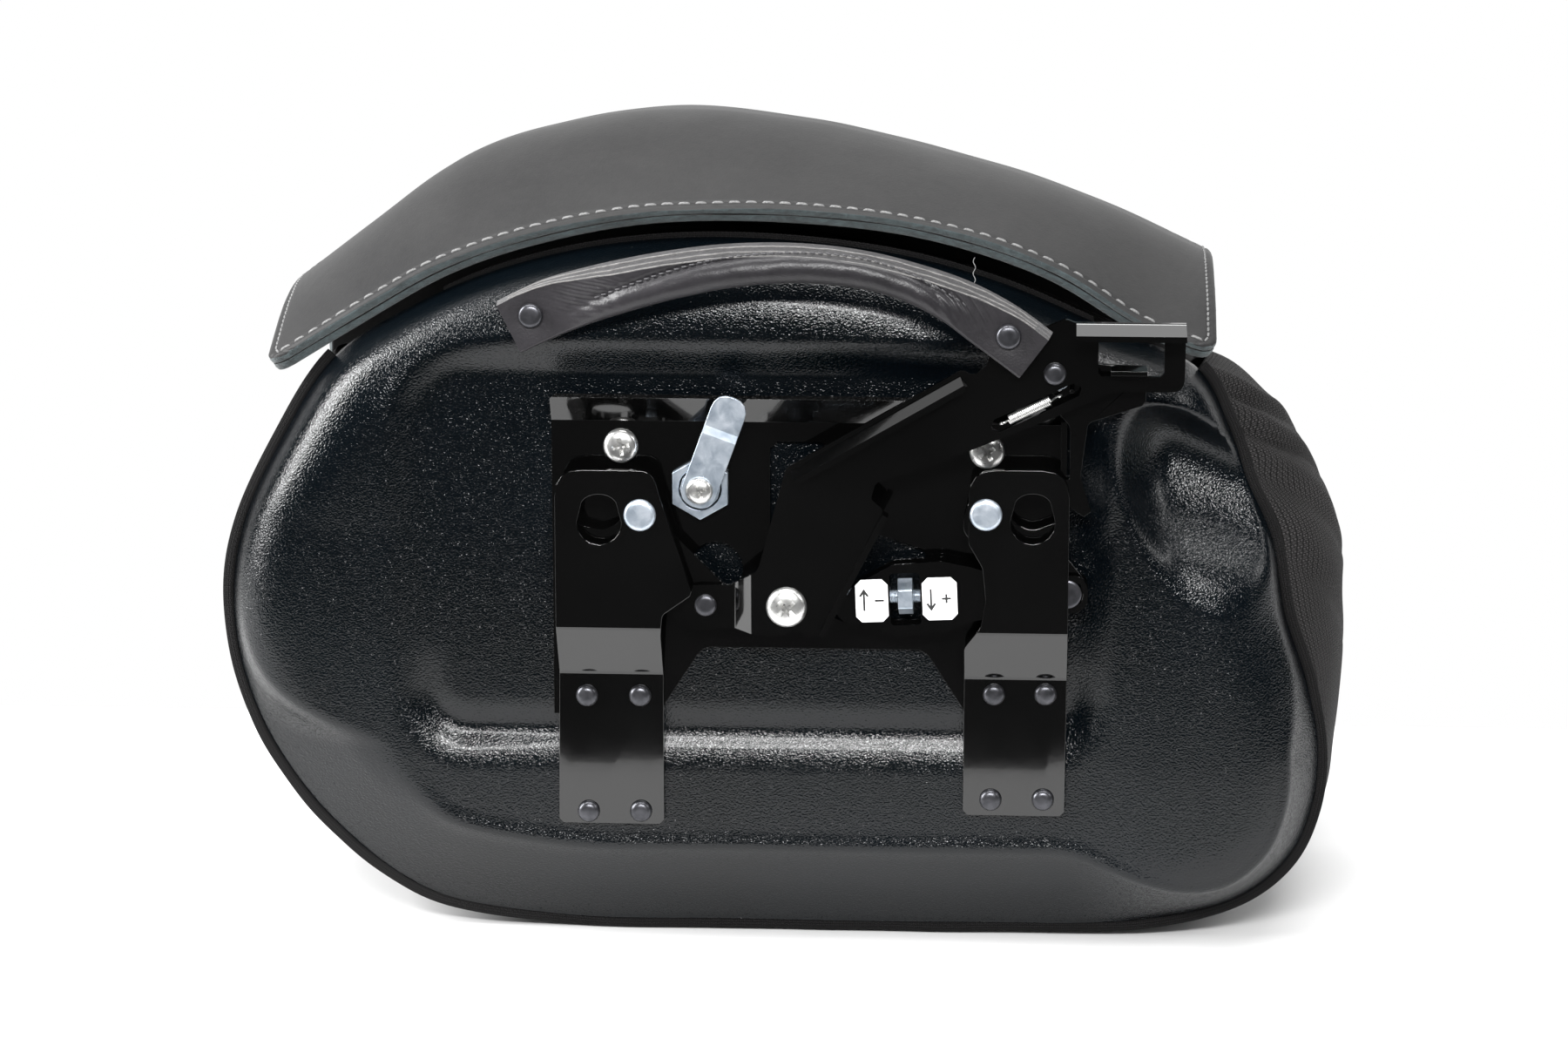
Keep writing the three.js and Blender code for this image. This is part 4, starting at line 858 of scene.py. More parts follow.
def front_panel():
    front = front_point(EDGE)
    centre = np.array([-5.0, 155.0])
    back = BAG_DEPTH - 4
    rows = []
    profile = [(0.5, back), (0.985, back), (0.997, back + 0.6), (1.0, back + 2), (0.996, BAG_DEPTH - 0.6)]
    for t in range(1, 13):
        profile.append((1 - 0.012 * t, BAG_DEPTH + 5.6 * (1 - (1 - t / 12) ** 2) ** 0.5 * 0.6))
    for t in range(1, 40):
        profile.append((0.86 * (1 - t / 40), BAG_DEPTH + 3.4 + 2.2 * math.sin(math.pi / 2 * t / 40)))
    for scale, y in profile:
        flat = (front - centre) * scale + centre
        rows.append(np.stack([flat[:, 0], np.full(len(flat), y), flat[:, 1]], 1))
    rows = np.array(rows)
    rows[5:, :, 1] += 0.35 * waves(rows[5:], 75, 21)
    columns = rows.shape[1]
    faces = quads(len(rows), columns, wrap=True)
    faces += [tuple(range(columns))[::-1], tuple((len(rows) - 1) * columns + k for k in range(columns))]
    obj = new_piece("front_panel_leather", rows.reshape(-1, 3), faces, LID_HIDE, "bag")
    outward_mesh(obj)
    finish_piece(obj, "lid_leather", "front_panel")
    seam = (front - centre) * 0.955 + centre
    line = np.stack([seam[:, 0], np.full(len(seam), BAG_DEPTH + 2.9), seam[:, 1]], 1)
    line[:, 1] += 0.35 * waves(line, 75, 21)
    stitch_row("front_panel_stitches", line, (0, 1, 0), 7.3, 5, 0.55, THREAD, "bag", "lid_leather")


# ---------- stitching ----------
def walk(line, pitch):
    """Middles and directions of equal steps along a line of points."""
    line = np.asarray(line, float)
    length = np.concatenate([[0], np.cumsum(np.linalg.norm(np.diff(line, axis=0), axis=1))])
    count = max(int(length[-1] / pitch), 1)
    at = (np.arange(count) + 0.5) * length[-1] / count
    ends = [np.stack([np.interp(at + shift, length, line[:, k]) for k in range(3)], 1) for shift in (-1, 1)]
    return (ends[0] + ends[1]) / 2, unit(ends[1] - ends[0]), at / length[-1]


def stitch_row(name, line, up, pitch, length, radius, material, body, slot, slant=0.06):
    """Separate stitches along a line: each a short thread that dives into the leather at both ends."""
    middles, along, share = walk(line, pitch)
    up = np.broadcast_to(np.array(up, float), middles.shape) if np.ndim(up) == 1 else np.stack(
        [np.interp(share, np.linspace(0, 1, len(up)), up[:, k]) for k in range(3)], 1)
    side = unit(np.cross(along, up))
    lift = np.cross(side, along)
    steps, sides = 7, 6
    points, faces = [], []
    angles = np.arange(sides) * 2 * math.pi / sides
    for middle, a, s, u in zip(middles, along, side, lift):
        start = len(points) * 1
        turn = a + s * (slant + RNG.uniform(-0.03, 0.03))
        size = length * RNG.uniform(0.92, 1.06)
        rings = []
        for k in range(steps):
            t = k / (steps - 1) * 2 - 1
            centre = middle + turn * t * size / 2 + u * radius * (1.05 * (1 - t**4) - 0.75)
            girth = radius * (1 - 0.45 * t**6)
            sideways = s * (np.cos(angles) * girth)[:, None]
            rings.append(centre + sideways + u * (np.sin(angles) * girth * 0.8)[:, None])
        points.extend(np.concatenate(rings))
        faces += quads(steps, sides, wrap=True, start=start)
        faces += [tuple(start + k for k in range(sides))[::-1],
                  tuple(start + (steps - 1) * sides + k for k in range(sides))]
    obj = new_piece(name, np.array(points), faces, material, body)
    outward_mesh(obj)
    return finish_piece(obj, slot)


# ---------- lid ----------
LID = {"x0": -228.0, "x1": 189.0, "rear": -9.0, "ridge": 75.0, "shoulder": 172.5, "flap": 175.0}
LEATHER = 4.0
ridge_z = height_through([(-228, 281), (-193, 308), (-145, 341), (-97, 356), (-50, 361), (12, 355),
                          (74, 341),
                          (137, 320), (189, 297)])
rear_z = height_through([(-228, 257.5), (-184, 284), (-152, 302), (-113, 316), (-57, 327), (17, 327.5),
                         (69, 320.5), (121, 303), (158, 280), (189, 268)])
shoulder_fall = height_through([(75, 0), (105, 2.5), (132, 10), (152, 23), (166, 42), (172.5, 62)])


def flap_bottom(x):
    return 176 - 16 * (1 - ((x + 20) / 209) ** 2)


def lid_surface(x, v):
    """Top surface of the lid: v runs 0 to 1 up to the ridge, to 2 over the shoulder, to 3 down the flap."""
    rise = np.clip(v, 0, 1)
    over = np.clip(v - 1, 0, 1)
    down = np.clip(v - 2, 0, 1)
    y = LID["rear"] + (LID["ridge"] - LID["rear"]) * rise
    z = rear_z(x) + (ridge_z(x) - rear_z(x)) * np.sin(rise * math.pi / 2)
    y = y + (LID["shoulder"] - LID["ridge"]) * np.sin(over * math.pi / 2)
    z = z - shoulder_fall(LID["ridge"] + (LID["shoulder"] - LID["ridge"]) * np.sin(over * math.pi / 2))
    y = y + (LID["flap"] - LID["shoulder"]) * down
    z = z + (flap_bottom(x) - (ridge_z(x) - 62)) * down
    return np.stack([x, y, z], -1)


HEM = 3.8  # from the cut edge to the stitch line
CORNER = 9.0  # radius of the lid's corners


def lid_grid():
    v = np.concatenate([np.linspace(0, 0.16, 26)[:-1], np.linspace(0.16, 2, 70)[:-1],
                        np.linspace(2, 2.94, 30)[:-1], np.linspace(2.94, 3, 10)])
    share = np.concatenate([np.linspace(0, 0.03, 14)[:-1], np.linspace(0.03, 0.97, 150)[:-1],
                            np.linspace(0.97, 1, 14)])
    x_middle = 0.5 * (LID["x0"] + LID["x1"])
    half = 0.5 * (LID["x1"] - LID["x0"])
    sample = lid_surface(np.full(len(v), x_middle), v)
    length = np.concatenate([[0], np.cumsum(np.linalg.norm(np.diff(sample, axis=0), axis=1))])
    from_end = np.minimum(length, length[-1] - length)
    trim = CORNER - np.sqrt(np.maximum(CORNER**2 - np.maximum(CORNER - from_end, 0) ** 2, 0))
    x = x_middle + (share[:, None] * 2 - 1) * (half - trim[None, :])
    upper = lid_surface(x, np.broadcast_to(v[None, :], x.shape))
    return upper, length, v


def lid():
    upper, length, v = lid_grid()
    normal = grid_normals(upper)
    if normal[80, 60, 2] < 0:
        normal = -normal
    rows = upper.shape[0]
    sway = waves(upper * (1, 1, 0.5), 120, 31) * 0.55 + waves(upper, 42, 32) * 0.14
    # The stitch line sits in a shallow groove, and the ends curl a little.
    from_rear = length[None, :]
    from_flap = length[-1] - length[None, :]
    from_left = upper[..., 0] - upper[0, :, 0][None, :]
    from_right = upper[-1, :, 0][None, :] - upper[..., 0]
    groove = np.zeros(upper.shape[:2])
    for distance in (from_rear, from_flap, from_left * 1.1, from_right * 1.1):
        groove -= 0.5 * np.exp(-(((distance - HEM) / 0.9) ** 2))
        groove -= 0.9 * np.exp(-((np.maximum(distance, 0) / 1.1) ** 2))
    creases = np.exp(-((from_left - 9) / 9) ** 2) * np.sin((upper[..., 2] + upper[..., 0] * 0.9) * 1.35)
    ripple = np.sin((upper[..., 2] - upper[..., 0] * 0.8) * 1.2)
    creases += np.exp(-((from_right - 12) / 10) ** 2) * ripple * 0.7
    creases *= 0.09 * smoothstep(0.25, 0.6, v)[None, :] * (1 - smoothstep(1.2, 1.7, v))[None, :]
    top = upper + normal * (sway + groove + creases)[..., None]
    under = upper - normal * (LEATHER - 0.1)
    hide = sheet_piece("lid_outer_leather", top, under, [LID_HIDE, RAW_EDGE], "lid",
                       rim=6, roughen=0.16)
    finish_piece(hide, "lid_leather", "lid_leather")
    gap = 0.4 + 0.2 * waves(upper, 30, 44)
    under_top = upper - normal * (LEATHER + 0.1 + np.maximum(gap, 0))[..., None]
    lining = sheet_piece("lid_inner_leather", under_top, upper - normal * (LEATHER * 2 - 0.1),
                         [LID_HIDE, RAW_EDGE], "lid", rim=6, roughen=0.2)
    finish_piece(lining, "lid_leather", "lid_lining")
    column = int(np.argmin(np.abs(length - HEM)))
    flap_column = int(np.argmin(np.abs(length - (length[-1] - HEM))))
    row = int(np.argmin(np.abs(from_left[:, 60] - HEM)))
    inside = slice(row, rows - row)
    lines = {
        "rear": (top[inside, column], normal[inside, column]),
        "flap": (top[inside, flap_column], normal[inside, flap_column]),
        "left": (top[row, column:flap_column], normal[row, column:flap_column]),
        "right": (top[rows - 1 - row, column:flap_column], normal[rows - 1 - row, column:flap_column]),
    }
    for name, (line, up) in lines.items():
        pitch, size, girth = (7.3, 5.6, 0.75) if name in ("rear", "flap") else (3.6, 2.8, 0.55)
        stitch_row(f"lid_stitches_{name}", line + up * 0.12, up, pitch, size, girth, THREAD, "lid",
                   "lid_leather")
    return upper, normal


def loose_fibres(upper, normal):
    """Fine fibres that stand out of the lid's cut rear edge."""
    points, faces = [], []
    columns = list(range(3, upper.shape[0] - 3))
    for _ in range(170):
        i = RNG.choice(columns if RNG.random() > 0.25 else columns[:14])
        root = upper[i, 0] - normal[i, 0] * RNG.uniform(0.8, 7.2)
        root = root + (upper[i + 1, 0] - upper[i, 0]) * RNG.random()
        away = Vector((RNG.uniform(-1, 1), RNG.uniform(-1, -0.2), RNG.uniform(-1, 0.6))).normalized()
        bend = Vector((RNG.uniform(-1, 1), RNG.uniform(-0.5, 0.5), RNG.uniform(-1, 1))) * 0.6
        size = RNG.uniform(0.7, 2.0)
        steps, sides, radius = 5, 3, 0.05
        start = len(points)
        for k in range(steps):
            t = k / (steps - 1)
            centre = Vector(root) + away * size * t + bend * size * t * t
            for a in range(sides):
                angle = a * 2 * math.pi / sides
                out = Vector((math.cos(angle), 0, math.sin(angle)))
                points.append(tuple(centre + out * radius * (1.2 - t)))
        faces += quads(steps, sides, wrap=True, start=start)
        last = start + (steps - 1) * sides
        faces += [(start + 2, start + 1, start), tuple(last + k for k in range(sides))]
    obj = new_piece("lid_edge_fibres", np.array(points), faces, RAW_EDGE, "lid")
    outward_mesh(obj)
    finish_piece(obj, "lid_leather")


def hinge_strip():
    top_of_shell = height_through(TOP_KNOTS)
    x = np.linspace(-150, 135, 190)
    share = np.linspace(0, 1, 16)
    z = top_of_shell(x)[:, None] - 9 + 10.5 * share[None, :]
    y = 4.6 + 0.35 * np.sin(x * 0.35)[:, None] * np.sin(np.pi * share)[None, :]
    middle = np.stack(np.broadcast_arrays(x[:, None], y, z), -1)
    uv = np.stack(np.broadcast_arrays(x[:, None], share[None, :] * 10.5), -1)
    half = (0, 0.55, 0)
    obj = sheet_piece("hinge_strip_woven", middle - half, middle + half, [BINDING, BINDING], None, uv=uv)
    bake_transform(obj)
    return finish_piece(obj, "nylon_fabric", "hinge_strip")


# ---------- closure straps on the outer side ----------
STRAP_WIDTH = 26.0


def closure_strap(side):
    low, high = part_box(f"lid_strap_{side}")
    middle = (low.x + high.x) / 2 / MM
    top, bottom = high.z / MM, low.z / MM
    line = knot_curve([(175.8, top), (176.0, 168), (174.6, 152), (171.6, 139), (170.5, 122),
                       (170.4, bottom)], 14)
    share = np.linspace(-1, 1, 25)
    tip_z = line[-1, 1]
    from_tip = line[:, 1] - tip_z
    half = STRAP_WIDTH / 2 * np.sqrt(np.clip(1 - (1 - np.clip(from_tip / 17, 0.02, 1)) ** 2, 0, 1))
    tangent = unit(np.gradient(line, axis=0))
    outward = np.stack([-tangent[:, 1], tangent[:, 0]], 1)
    x = middle + share[None, :] * half[:, None]
    y, z = (np.broadcast_to(line[:, k][:, None], x.shape) for k in (0, 1))
    base = np.stack([x, y, z], 2)
    normal = np.stack([np.zeros(len(line)), outward[:, 0], outward[:, 1]], 1)
    if normal[0, 1] < 0:
        normal = -normal
    seam_dip = np.exp(-(((np.abs(share) * 13 - 10.2) / 0.8) ** 2))
    crown = 0.35 * (1 - share**4)[None, :] - 0.35 * seam_dip[None, :]
    face = base + normal[:, None] * (2.75 + crown)[..., None]
    rear = base + normal[:, None] * 0.05
    obj = sheet_piece(f"closure_strap_{side}", face, rear, [LID_HIDE, RAW_EDGE], "lid",
                      rim=4, roughen=0.08)
    finish_piece(obj, "lid_leather", f"lid_strap_{side}")
    for name, at in (("a", 2), ("b", 22)):
        row, up = face[4:-14, at], normal[4:-14]
        stitch_row(f"closure_strap_stitches_{side}_{name}", row, up, 5.0, 3.8, 0.45, THREAD,
                   "lid", "lid_leather")


# ---------- turned and pressed fittings ----------
def rivet(node, head_radius, height, tail_radius, material, slot, flatness=1.0, shank=2.4):
    """A headed fastener: a dome towards the bike, a shank, and an upset tail on the far side."""
    low, high = node_reach(node)
    face = low + height
    dome = [(0.0, low)]
    for k in range(1, 13):
        t = k / 12
        fall = (1 - math.sqrt(max(1 - (t * 0.999) ** (2 + 2.4 * flatness), 0))) * (height - 0.25)
        dome.append((head_radius * t, low + fall))
    dome += [(head_radius, face - 0.15), (head_radius - 0.15, face), (shank, face)]
    if tail_radius:
        dome += [(shank, high - 3), (tail_radius - 0.4, high - 3), (tail_radius, high - 2.4),
                 (tail_radius, high - 0.9), (tail_radius - 0.9, high)]
    else:
        dome += [(shank, high - 0.3), (shank - 0.3, high)]
    dome.append((0.0, high))
    middle = node_centre(node)
    obj = lathe_piece(node + "_finish", dome, (middle[0], middle[2]), material, body_of(node))
    return finish_piece(obj, slot, node)


def cross_recess(obj, centre, y_top, size, depth, turn):
    """A Phillips recess: two tapered slots cut at right angles."""
    for k in range(2):
        angle = turn + k * math.pi / 2
        along = np.array([math.cos(angle), 0, math.sin(angle)])
        across = np.array([-math.sin(angle), 0, math.cos(angle)])
        points = []
        mouth = (y_top - 0.5, size * 1.1, size * 0.26)
        bottom = (y_top + depth, size * 0.4, size * 0.12)
        for y, long, wide in (mouth, bottom):
            for a, b in ((-1, -1), (1, -1), (1, 1), (-1, 1)):
                point = along * a * long + across * b * wide
                points.append((centre[0] + point[0], y, centre[1] + point[2]))
        faces = [(0, 1, 2, 3), (7, 6, 5, 4), (0, 4, 5, 1), (1, 5, 6, 2), (2, 6, 7, 3), (3, 7, 4, 0)]
        tool = new_piece("recess_tool", np.array(points), faces, obj.data.materials[0], smooth=False)
        outward_mesh(tool)
        cut = obj.modifiers.new("recess", "BOOLEAN")
        cut.object = tool
        cut.operation = "DIFFERENCE"
        cut.solver = "EXACT"
        bpy.context.view_layer.update()
        shaped = bpy.data.meshes.new_from_object(obj.evaluated_get(bpy.context.evaluated_depsgraph_get()))
        obj.modifiers.clear()
        obj.data = shaped
        bpy.data.objects.remove(tool)
    obj.data.shade_smooth()
    obj.data.set_sharp_from_angle(angle=math.radians(32))


def screw(node, head_radius, height, tail_radius, turn, shank=2.4):
    obj = rivet(node, head_radius, height, tail_radius, STEEL, "stainless_screw", flatness=0.35, shank=shank)
    middle = node_centre(node)
    cross_recess(obj, (middle[0], middle[2]), node_reach(node)[0], head_radius * 0.56, 2.3, turn)
    return obj


def ring(node, radius, bore):
    low, high = node_reach(node)
    edge = 0.3
    profile = [(bore, low + edge), (bore + edge, low), (radius - edge, low), (radius, low + edge),
               (radius, high - edge), (radius - edge, high), (bore + edge, high), (bore, high - edge),
               (bore, low + edge)]
    middle = node_centre(node)
    obj = lathe_piece(node + "_finish", profile, (middle[0], middle[2]), ZINC, body_of(node))
    return finish_piece(obj, "zinc_plate", node)


def spring():
    """The pawl's tension spring: close coils, with a hook at each end."""
    middle = node_centre("pawl_spring")
    low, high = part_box("pawl_spring")
    reach = np.array([high.x - low.x, 0, high.z - low.z]) / 2 / MM - (0.6, 0, 1.5)
    axis = unit(reach)
    half = np.linalg.norm(reach) * 0.66
    side = np.array([0, -1.0, 0])
    up = np.cross(axis, side)
    radius, wire, turns = 1.75, 0.42, 24
    path = []
    for k in range(13):  # the lower hook
        angle = math.radians(250 - 250 * k / 12)
        along = axis * (half + 2.6 - 1.6 * math.cos(angle))
        path.append(middle - along + side * 1.6 * math.sin(angle) * 0.9)
    for k in range(turns * 14 + 1):
        t = k / (turns * 14)
        angle = 2 * math.pi * turns * t
        out = side * math.cos(angle) + up * math.sin(angle)
        path.append(middle + axis * (2 * t - 1) * half + out * radius)
    for k in range(13):  # the upper hook
        angle = math.radians(250 * k / 12)
        along = axis * (half + 3.4 - 1.8 * math.cos(angle))
        path.append(middle + along - side * 1.6 * math.sin(angle) * 0.9)
    obj = tube_piece("pawl_spring_coil", path, wire, 8, STEEL, "lever", up=tuple(axis))
    return finish_piece(obj, "zinc_plate", "pawl_spring")


LINK_ANGLE = math.atan2(166 - 160.5, 125 - 4.2)


def link_point(along, y, up):
    """A point in the link's own frame, whose X runs along its rod from the lever's screw."""
    c, s = math.cos(LINK_ANGLE), math.sin(LINK_ANGLE)
    return np.array([4.2 + along * c - up * s, y, 160.5 + along * s + up * c])


ROD_Y = -36.4


def link_rod():
    """The link's eye and its threaded rod."""
    pitch, root, crest = 1.0, 2.5, 2.9
    sides, per_turn = 24, 6
    start, end = 7.6, 74.0
    count = int((end - start) / pitch * per_turn)
    rows = []
    for k in range(count + 1):
        along = start + (end - start) * k / count
        row = []
        for a in range(sides):
            angle = a * 2 * math.pi / sides
            phase = (along / pitch - a / sides) % 1
            radius = root + (crest - root) * (1 - abs(2 * phase - 1)) if along > 12 else crest
            row.append(link_point(along, ROD_Y + radius * math.sin(angle), radius * math.cos(angle)))
        rows.append(row)
    faces = quads(len(rows), sides, wrap=True)
    faces += [tuple(range(sides))[::-1], tuple((len(rows) - 1) * sides + k for k in range(sides))]
    rod = new_piece("link_rod_thread", np.array(rows).reshape(-1, 3), faces, ZINC, "link")
    outward_mesh(rod)
    finish_piece(rod, "zinc_plate")
    bore, outer, half, edge = 3.4, 8.5, 2.8, 0.5
    profile = [(bore, ROD_Y - half + edge), (bore + edge, ROD_Y - half), (outer - edge, ROD_Y - half),
               (outer, ROD_Y - half + edge), (outer, ROD_Y + half - edge), (outer - edge, ROD_Y + half),
               (bore + edge, ROD_Y + half), (bore, ROD_Y + half - edge), (bore, ROD_Y - half + edge)]
    eye = lathe_piece("link_rod_eye", profile, (4.2, 160.5), ZINC, "link")
    finish_piece(eye, "zinc_plate", "link_rod")


def label(side, arrow_up):
    """A white label with a plain arrow and a plus or minus sign, as thin raised ink."""
    node = f"adjuster_label_{side}"
    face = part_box(node)[0].y / MM - SEAM_Y
    refine(node, LABEL, "label_white", 0.08, 2)
    middle = node_centre(node)
    sign = 1 if arrow_up else -1
    bars = [
        [(-4.2, -4.4), (-3.3, -4.4), (-3.3, 4.4), (-4.2, 4.4)],
        [(-3.75, 5.4), (-5.9, 2.2), (-5.1, 1.8), (-3.75, 3.6), (-2.4, 1.8), (-1.6, 2.2)],
        [(0.9, -0.45), (4.9, -0.45), (4.9, 0.45), (0.9, 0.45)],
    ]
    if not arrow_up:
        bars.append([(2.45, -2.0), (3.35, -2.0), (3.35, 2.0), (2.45, 2.0)])
    c, s = math.cos(LINK_ANGLE), math.sin(LINK_ANGLE)
    points, faces = [], []
    for n, bar in enumerate(bars):
        lift = 0.02 * n
        start = len(points)
        for y in (face + 0.05, face - 0.04 - lift):
            for u, v in bar:
                v = v * sign if n < 2 else v
                u = u + (0.4 if arrow_up else 0.0)
                points.append((middle[0] + u * c - v * s, y, middle[2] + u * s + v * c))
        count = len(bar)
        faces.append(tuple(start + k for k in range(count)))
        faces.append(tuple(start + count + k for k in range(count))[::-1])
        faces += [(start + k, start + (k + 1) % count, start + count + (k + 1) % count, start + count + k)
                  for k in range(count)]
    obj = new_piece(f"adjuster_arrow_{side}", np.array(points), faces, INK, "adjuster", smooth=False)
    outward_mesh(obj)
    finish_piece(obj, "label_white")


# ---------- hand grip ----------
# Stations from the left end to the right: x, z, half width, half thickness, y of the middle.
GRIP_KNOTS = [
    (-116, 279.8, 12.3, 3.3, -40.3), (-106.3, 284.6, 12.4, 3.3, -40.3), (-97, 288.9, 12.4, 3.4, -40.6),
    (-82, 294.5, 11.8, 3.4, -44.6), (-66, 299.6, 11.2, 3.4, -49.0), (-45, 305, 10.3, 3.3, -52.3),
    (-21, 309.3, 9.3, 3.1, -54), (8, 311, 8.4, 3.1, -55), (35, 308.8, 8.0, 3.1, -55.5),
    (58, 303.0, 8.4, 3.1, -55.6), (76, 295.4, 10, 3.2, -55.1), (88, 288.2, 11.4, 3.3, -54.8),
    (98.8, 281, 12.0, 3.3, -54.7), (110.4, 272.4, 12.0, 3.3, -54.7),
]
GRIP_RIVETS = ((-106.3, 285.7), (98.8, 281.0))
TUBE_RADIUS = 6.6


def grip():
    knots = knot_curve(GRIP_KNOTS, 16)
    x, z, half, thick, y = knots.T
    count = len(x)
    tangent = unit(np.stack([np.gradient(x), np.gradient(z)], 1))
    across = np.stack([-tangent[:, 1], tangent[:, 0]], 1)
    roll = smoothstep(-99, -72, x) * (1 - smoothstep(60, 92, x))
    radius = TUBE_RADIUS * (0.72 + 0.28 * smoothstep(-95, -20, x)) * (1 - 0.14 * smoothstep(30, 75, x))
    slant = 1.2 + 4.2 * smoothstep(-112, -60, x) * (1 - 0.55 * smoothstep(70, 105, x))
    front_n, back_n, edge_n = 34, 20, 9
    columns = []

    def thickness(u):
        from_bottom = u + half
        flat_round = np.sqrt(np.clip(1 - (1 - np.clip(from_bottom / 1.6, 0, 1)) ** 2, 0, 1))
        flat = thick * flat_round
        centre = -half + radius
        tube = np.sqrt(np.clip(radius**2 - (u - centre) ** 2, 0, None))
        valley = 1 - 0.28 * roll * np.exp(-(((u - centre - radius - 0.6) / 1.4) ** 2))
        rolled = np.maximum(tube, thick * valley * smoothstep(-half + radius * 0.8, -half + radius * 1.6, u))
        return flat * (1 - roll) + rolled * roll

    for k in range(front_n):
        q = k / (front_n - 1)
        eased = q - 0.09 * math.sin(2 * math.pi * q)
        u = (half - slant) * (1 - eased) - half * eased
        columns.append((u, thickness(u)))
    for k in range(1, back_n):
        q = k / (back_n - 1)
        u = -half * (1 - q) + half * q
        columns.append((u, -thickness(u)))
    for k in range(1, edge_n):
        q = k / edge_n
        layer = 0.22 * math.cos(q * 6 * math.pi)
        columns.append((half * (1 - q) + (half - slant) * q + layer, thick * (2 * q - 1)))
    u = np.stack([c[0] for c in columns], 1)
    w = np.stack([c[1] for c in columns], 1)
    points = np.stack([
        x[:, None] + across[:, 0][:, None] * u,
        y[:, None] - w,
        z[:, None] + across[:, 1][:, None] * u,
    ], 2)
    is_front = (np.arange(u.shape[1]) < front_n)[None, :]
    # Puckers gather where the roll starts, and the leather dips round each rivet.
    start_left = np.exp(-(((x + 82) / 13) ** 2)) + np.exp(-(((x - 80) / 12) ** 2))
    fan = np.sin((x[:, None] * 0.8 + u * 1.35) * 1.25 + 0.9 * waves(points, 20, 61))
    pucker = 0.55 * start_left[:, None] * fan * np.exp(-(((u - 1) / 6.5) ** 2))
    ripple = 0.16 * waves(points * (1, 1, 1), 9, 62) * roll[:, None] + 0.2 * waves(points, 26, 63)
    dip = np.zeros_like(u)
    for centre in GRIP_RIVETS:
        away = np.hypot(points[..., 0] - centre[0], points[..., 2] - centre[1])
        dip -= 0.9 * np.exp(-((away / 6.2) ** 2))
    points[..., 1] -= (pucker + ripple + dip) * is_front
    size = u.shape[1]
    faces = quads(count, size, wrap=True)
    is_edge = [size - edge_n <= (k % size) for k in range(len(faces))]
    faces += [tuple(range(size))[::-1], tuple((count - 1) * size + k for k in range(size))]
    picks = [1 if e else 0 for e in is_edge] + [1, 1]
    obj = new_piece("grip_rolled_leather", points.reshape(-1, 3), faces, [GRIP_HIDE, GRIP_EDGE], None, picks)
    outward_mesh(obj)
    obj.data.set_sharp_from_angle(angle=math.radians(62))
    made = [finish_piece(obj, "grip_leather", "grip_leather")]
    seam_u = -half + 2 * radius + 0.4
    inside = np.nonzero((x > -80) & (x < 84))[0]
    seam_x, seam_z = x + across[:, 0] * seam_u, z + across[:, 1] * seam_u
    seam = np.stack([seam_x, y - thick * 0.86 - 0.35, seam_z], 1)[inside]
    made.append(stitch_row("grip_stitches", seam, (0, -1, 0), 3.4, 2.5, 0.42, DARK_THREAD, None,
                           "grip_leather", 0.16))
    for number, (q, y_share) in enumerate(((0.3, -0.35), (0.66, 0.3), (0.97, 0.92)), 1):
        u_line = half - slant * q + 0.1
        line = np.stack([x + across[:, 0] * u_line, y - thick * y_share, z + across[:, 1] * u_line], 1)[8:-8]
        line = line + np.stack([waves(line, 11, 70 + number)] * 3, 1) * 0.12
        edge = tube_piece(f"grip_edge_line_{number}", line, 0.34, 6, PALE_EDGE, None)
        made.append(finish_piece(edge, "grip_leather"))
    root = np.array([84, -55.4, 303.6])
    curl = [root + (0.5 * math.sin(k * 1.3), 0.25 * k - 0.4, 1.05 * k) for k in range(11)]
    loose = tube_piece("grip_loose_thread", knot_curve(curl, 3), 0.17, 5, THREAD, None, up=(1, 0, 0))
    made.append(finish_piece(loose, "grip_leather"))
    for piece in made:
        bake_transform(piece)


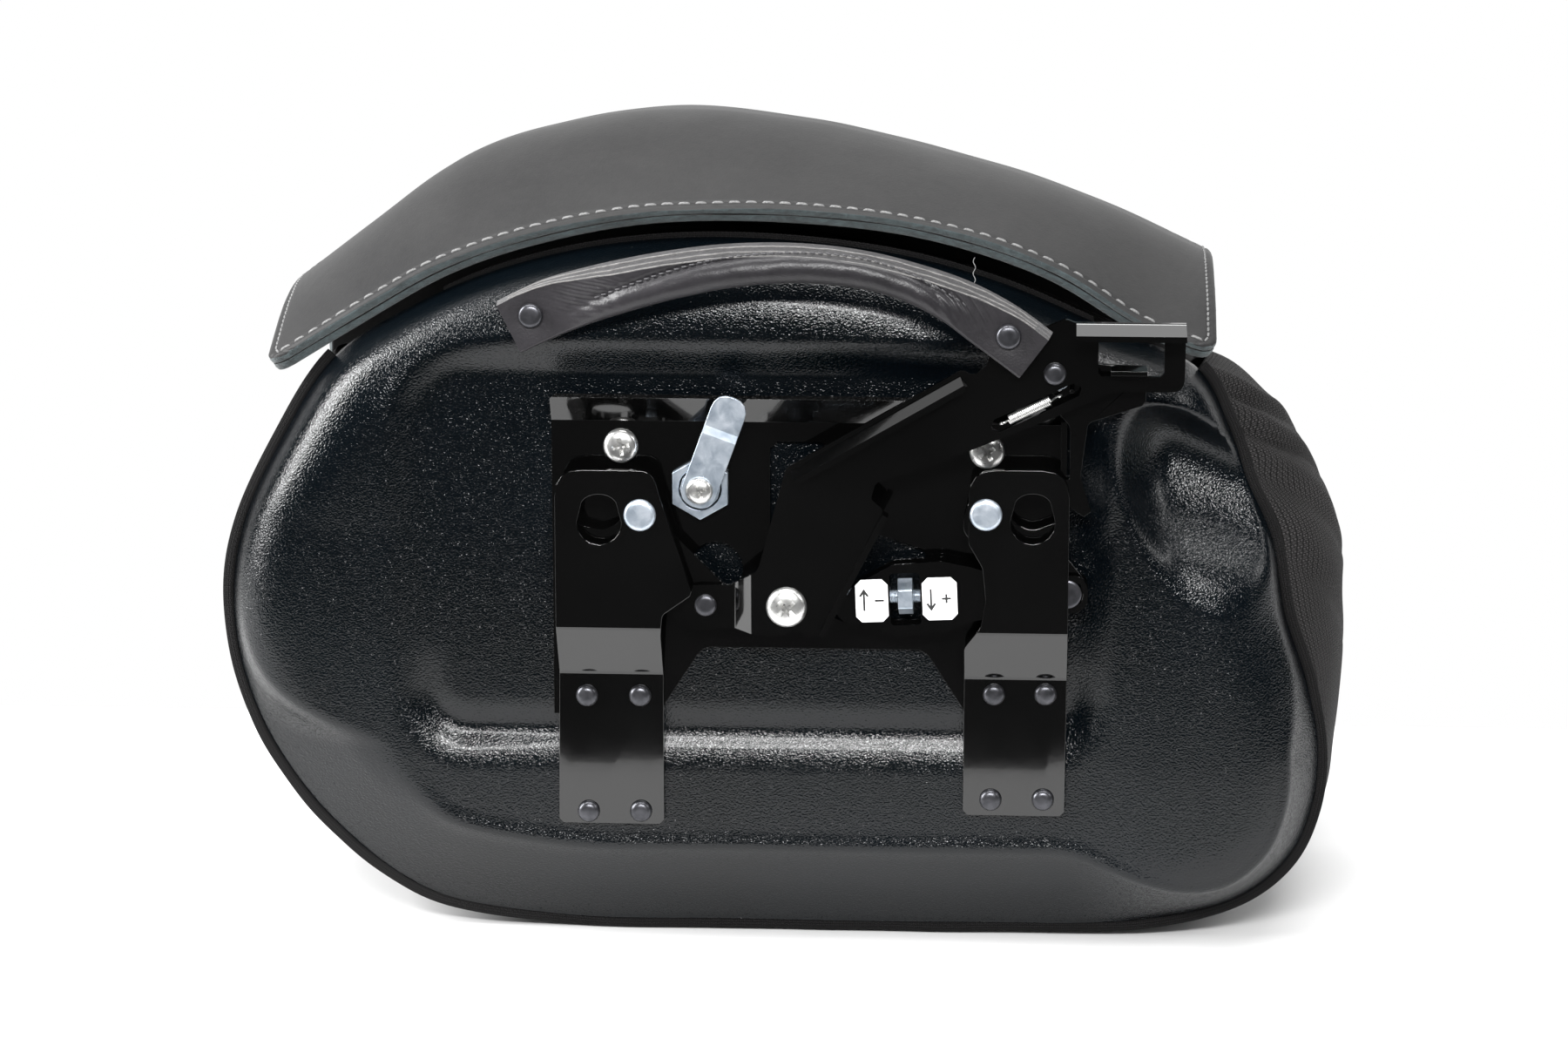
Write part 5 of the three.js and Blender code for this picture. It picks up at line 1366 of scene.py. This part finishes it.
# ---------- everything in its place ----------
back_shell()
gusset()
mouth_to_mouth = EDGE[:SIDE_POINTS]
binding("back_binding", mouth_to_mouth, OUTWARD[:SIDE_POINTS], -1.5, "back_piping", -0.1)
binding("front_binding", front_point(mouth_to_mouth), OUTWARD[:SIDE_POINTS], BAG_DEPTH - 1.6,
        "front_piping", 0.1)
front_panel()
refine("bottom_plate", PLASTIC, "shell_plastic", 0.8, 3)

lid_upper, lid_normal = lid()
loose_fibres(lid_upper, lid_normal)
hinge_strip()
for side in ("left", "right"):
    closure_strap(side)
    refine(f"strap_buckle_{side}", ZINC, "zinc_plate", 0.7, 3)
    refine(f"strap_stud_{side}", ZINC, "zinc_plate", 0.3, 2)

for node in ("base_plate", "bracket_left", "bracket_right", "jaw_left", "jaw_right", "lever", "pawl"):
    refine(node, COAT, "black_steel", 0.4, 3)
refine("backing_plate", COAT, "black_steel", 0.3, 2)
refine("adjuster_body", COAT, "black_steel", 0.25, 2)
for node in ("lock_nut", "adjuster_nut"):
    refine(node, ZINC, "zinc_plate", 0.5, 3)
refine("lock_cam", ZINC, "zinc_plate", 0.3, 2)
refine("lock_barrel", ZINC, "zinc_plate", 0.3, 2)

for side in ("left", "right"):
    for number in range(1, 5):
        rivet(f"bracket_rivet_{side}_{number}", 4.9, 3, 3.8, RIVET, "black_rivet", 0.5)
    rivet(f"jaw_pivot_{side}", 7, 2, 4.5, ZINC, "zinc_plate", 2.2)
for node, height in (("lever_rivet", 2), ("pawl_rivet", 2.8)):
    rivet(node, 4.9, height, 3.8, RIVET, "black_rivet", 0.9)
for side in ("left", "right"):
    rivet(f"grip_rivet_{side}", 5.4, 2.4, 4.2, RIVET, "black_rivet", 0.9)
rivet("link_pin", 6.2, 0.8, 6.2, RIVET, "black_rivet", 2.0, shank=3)
screw("plate_screw_left", 7.6, 3.4, 5, 0.2)
screw("plate_screw_right", 7.6, 3.4, 5, 0.55)
screw("link_screw", 8.8, 4, 5, 0.75, shank=3)
screw("cam_screw", 6.1, 3, 0, 0.35)
ring("link_spacer", 6, 3.3)
ring("pawl_spacer", 8, 2.8)
spring()
link_rod()
label("left", True)
label("right", False)
grip()
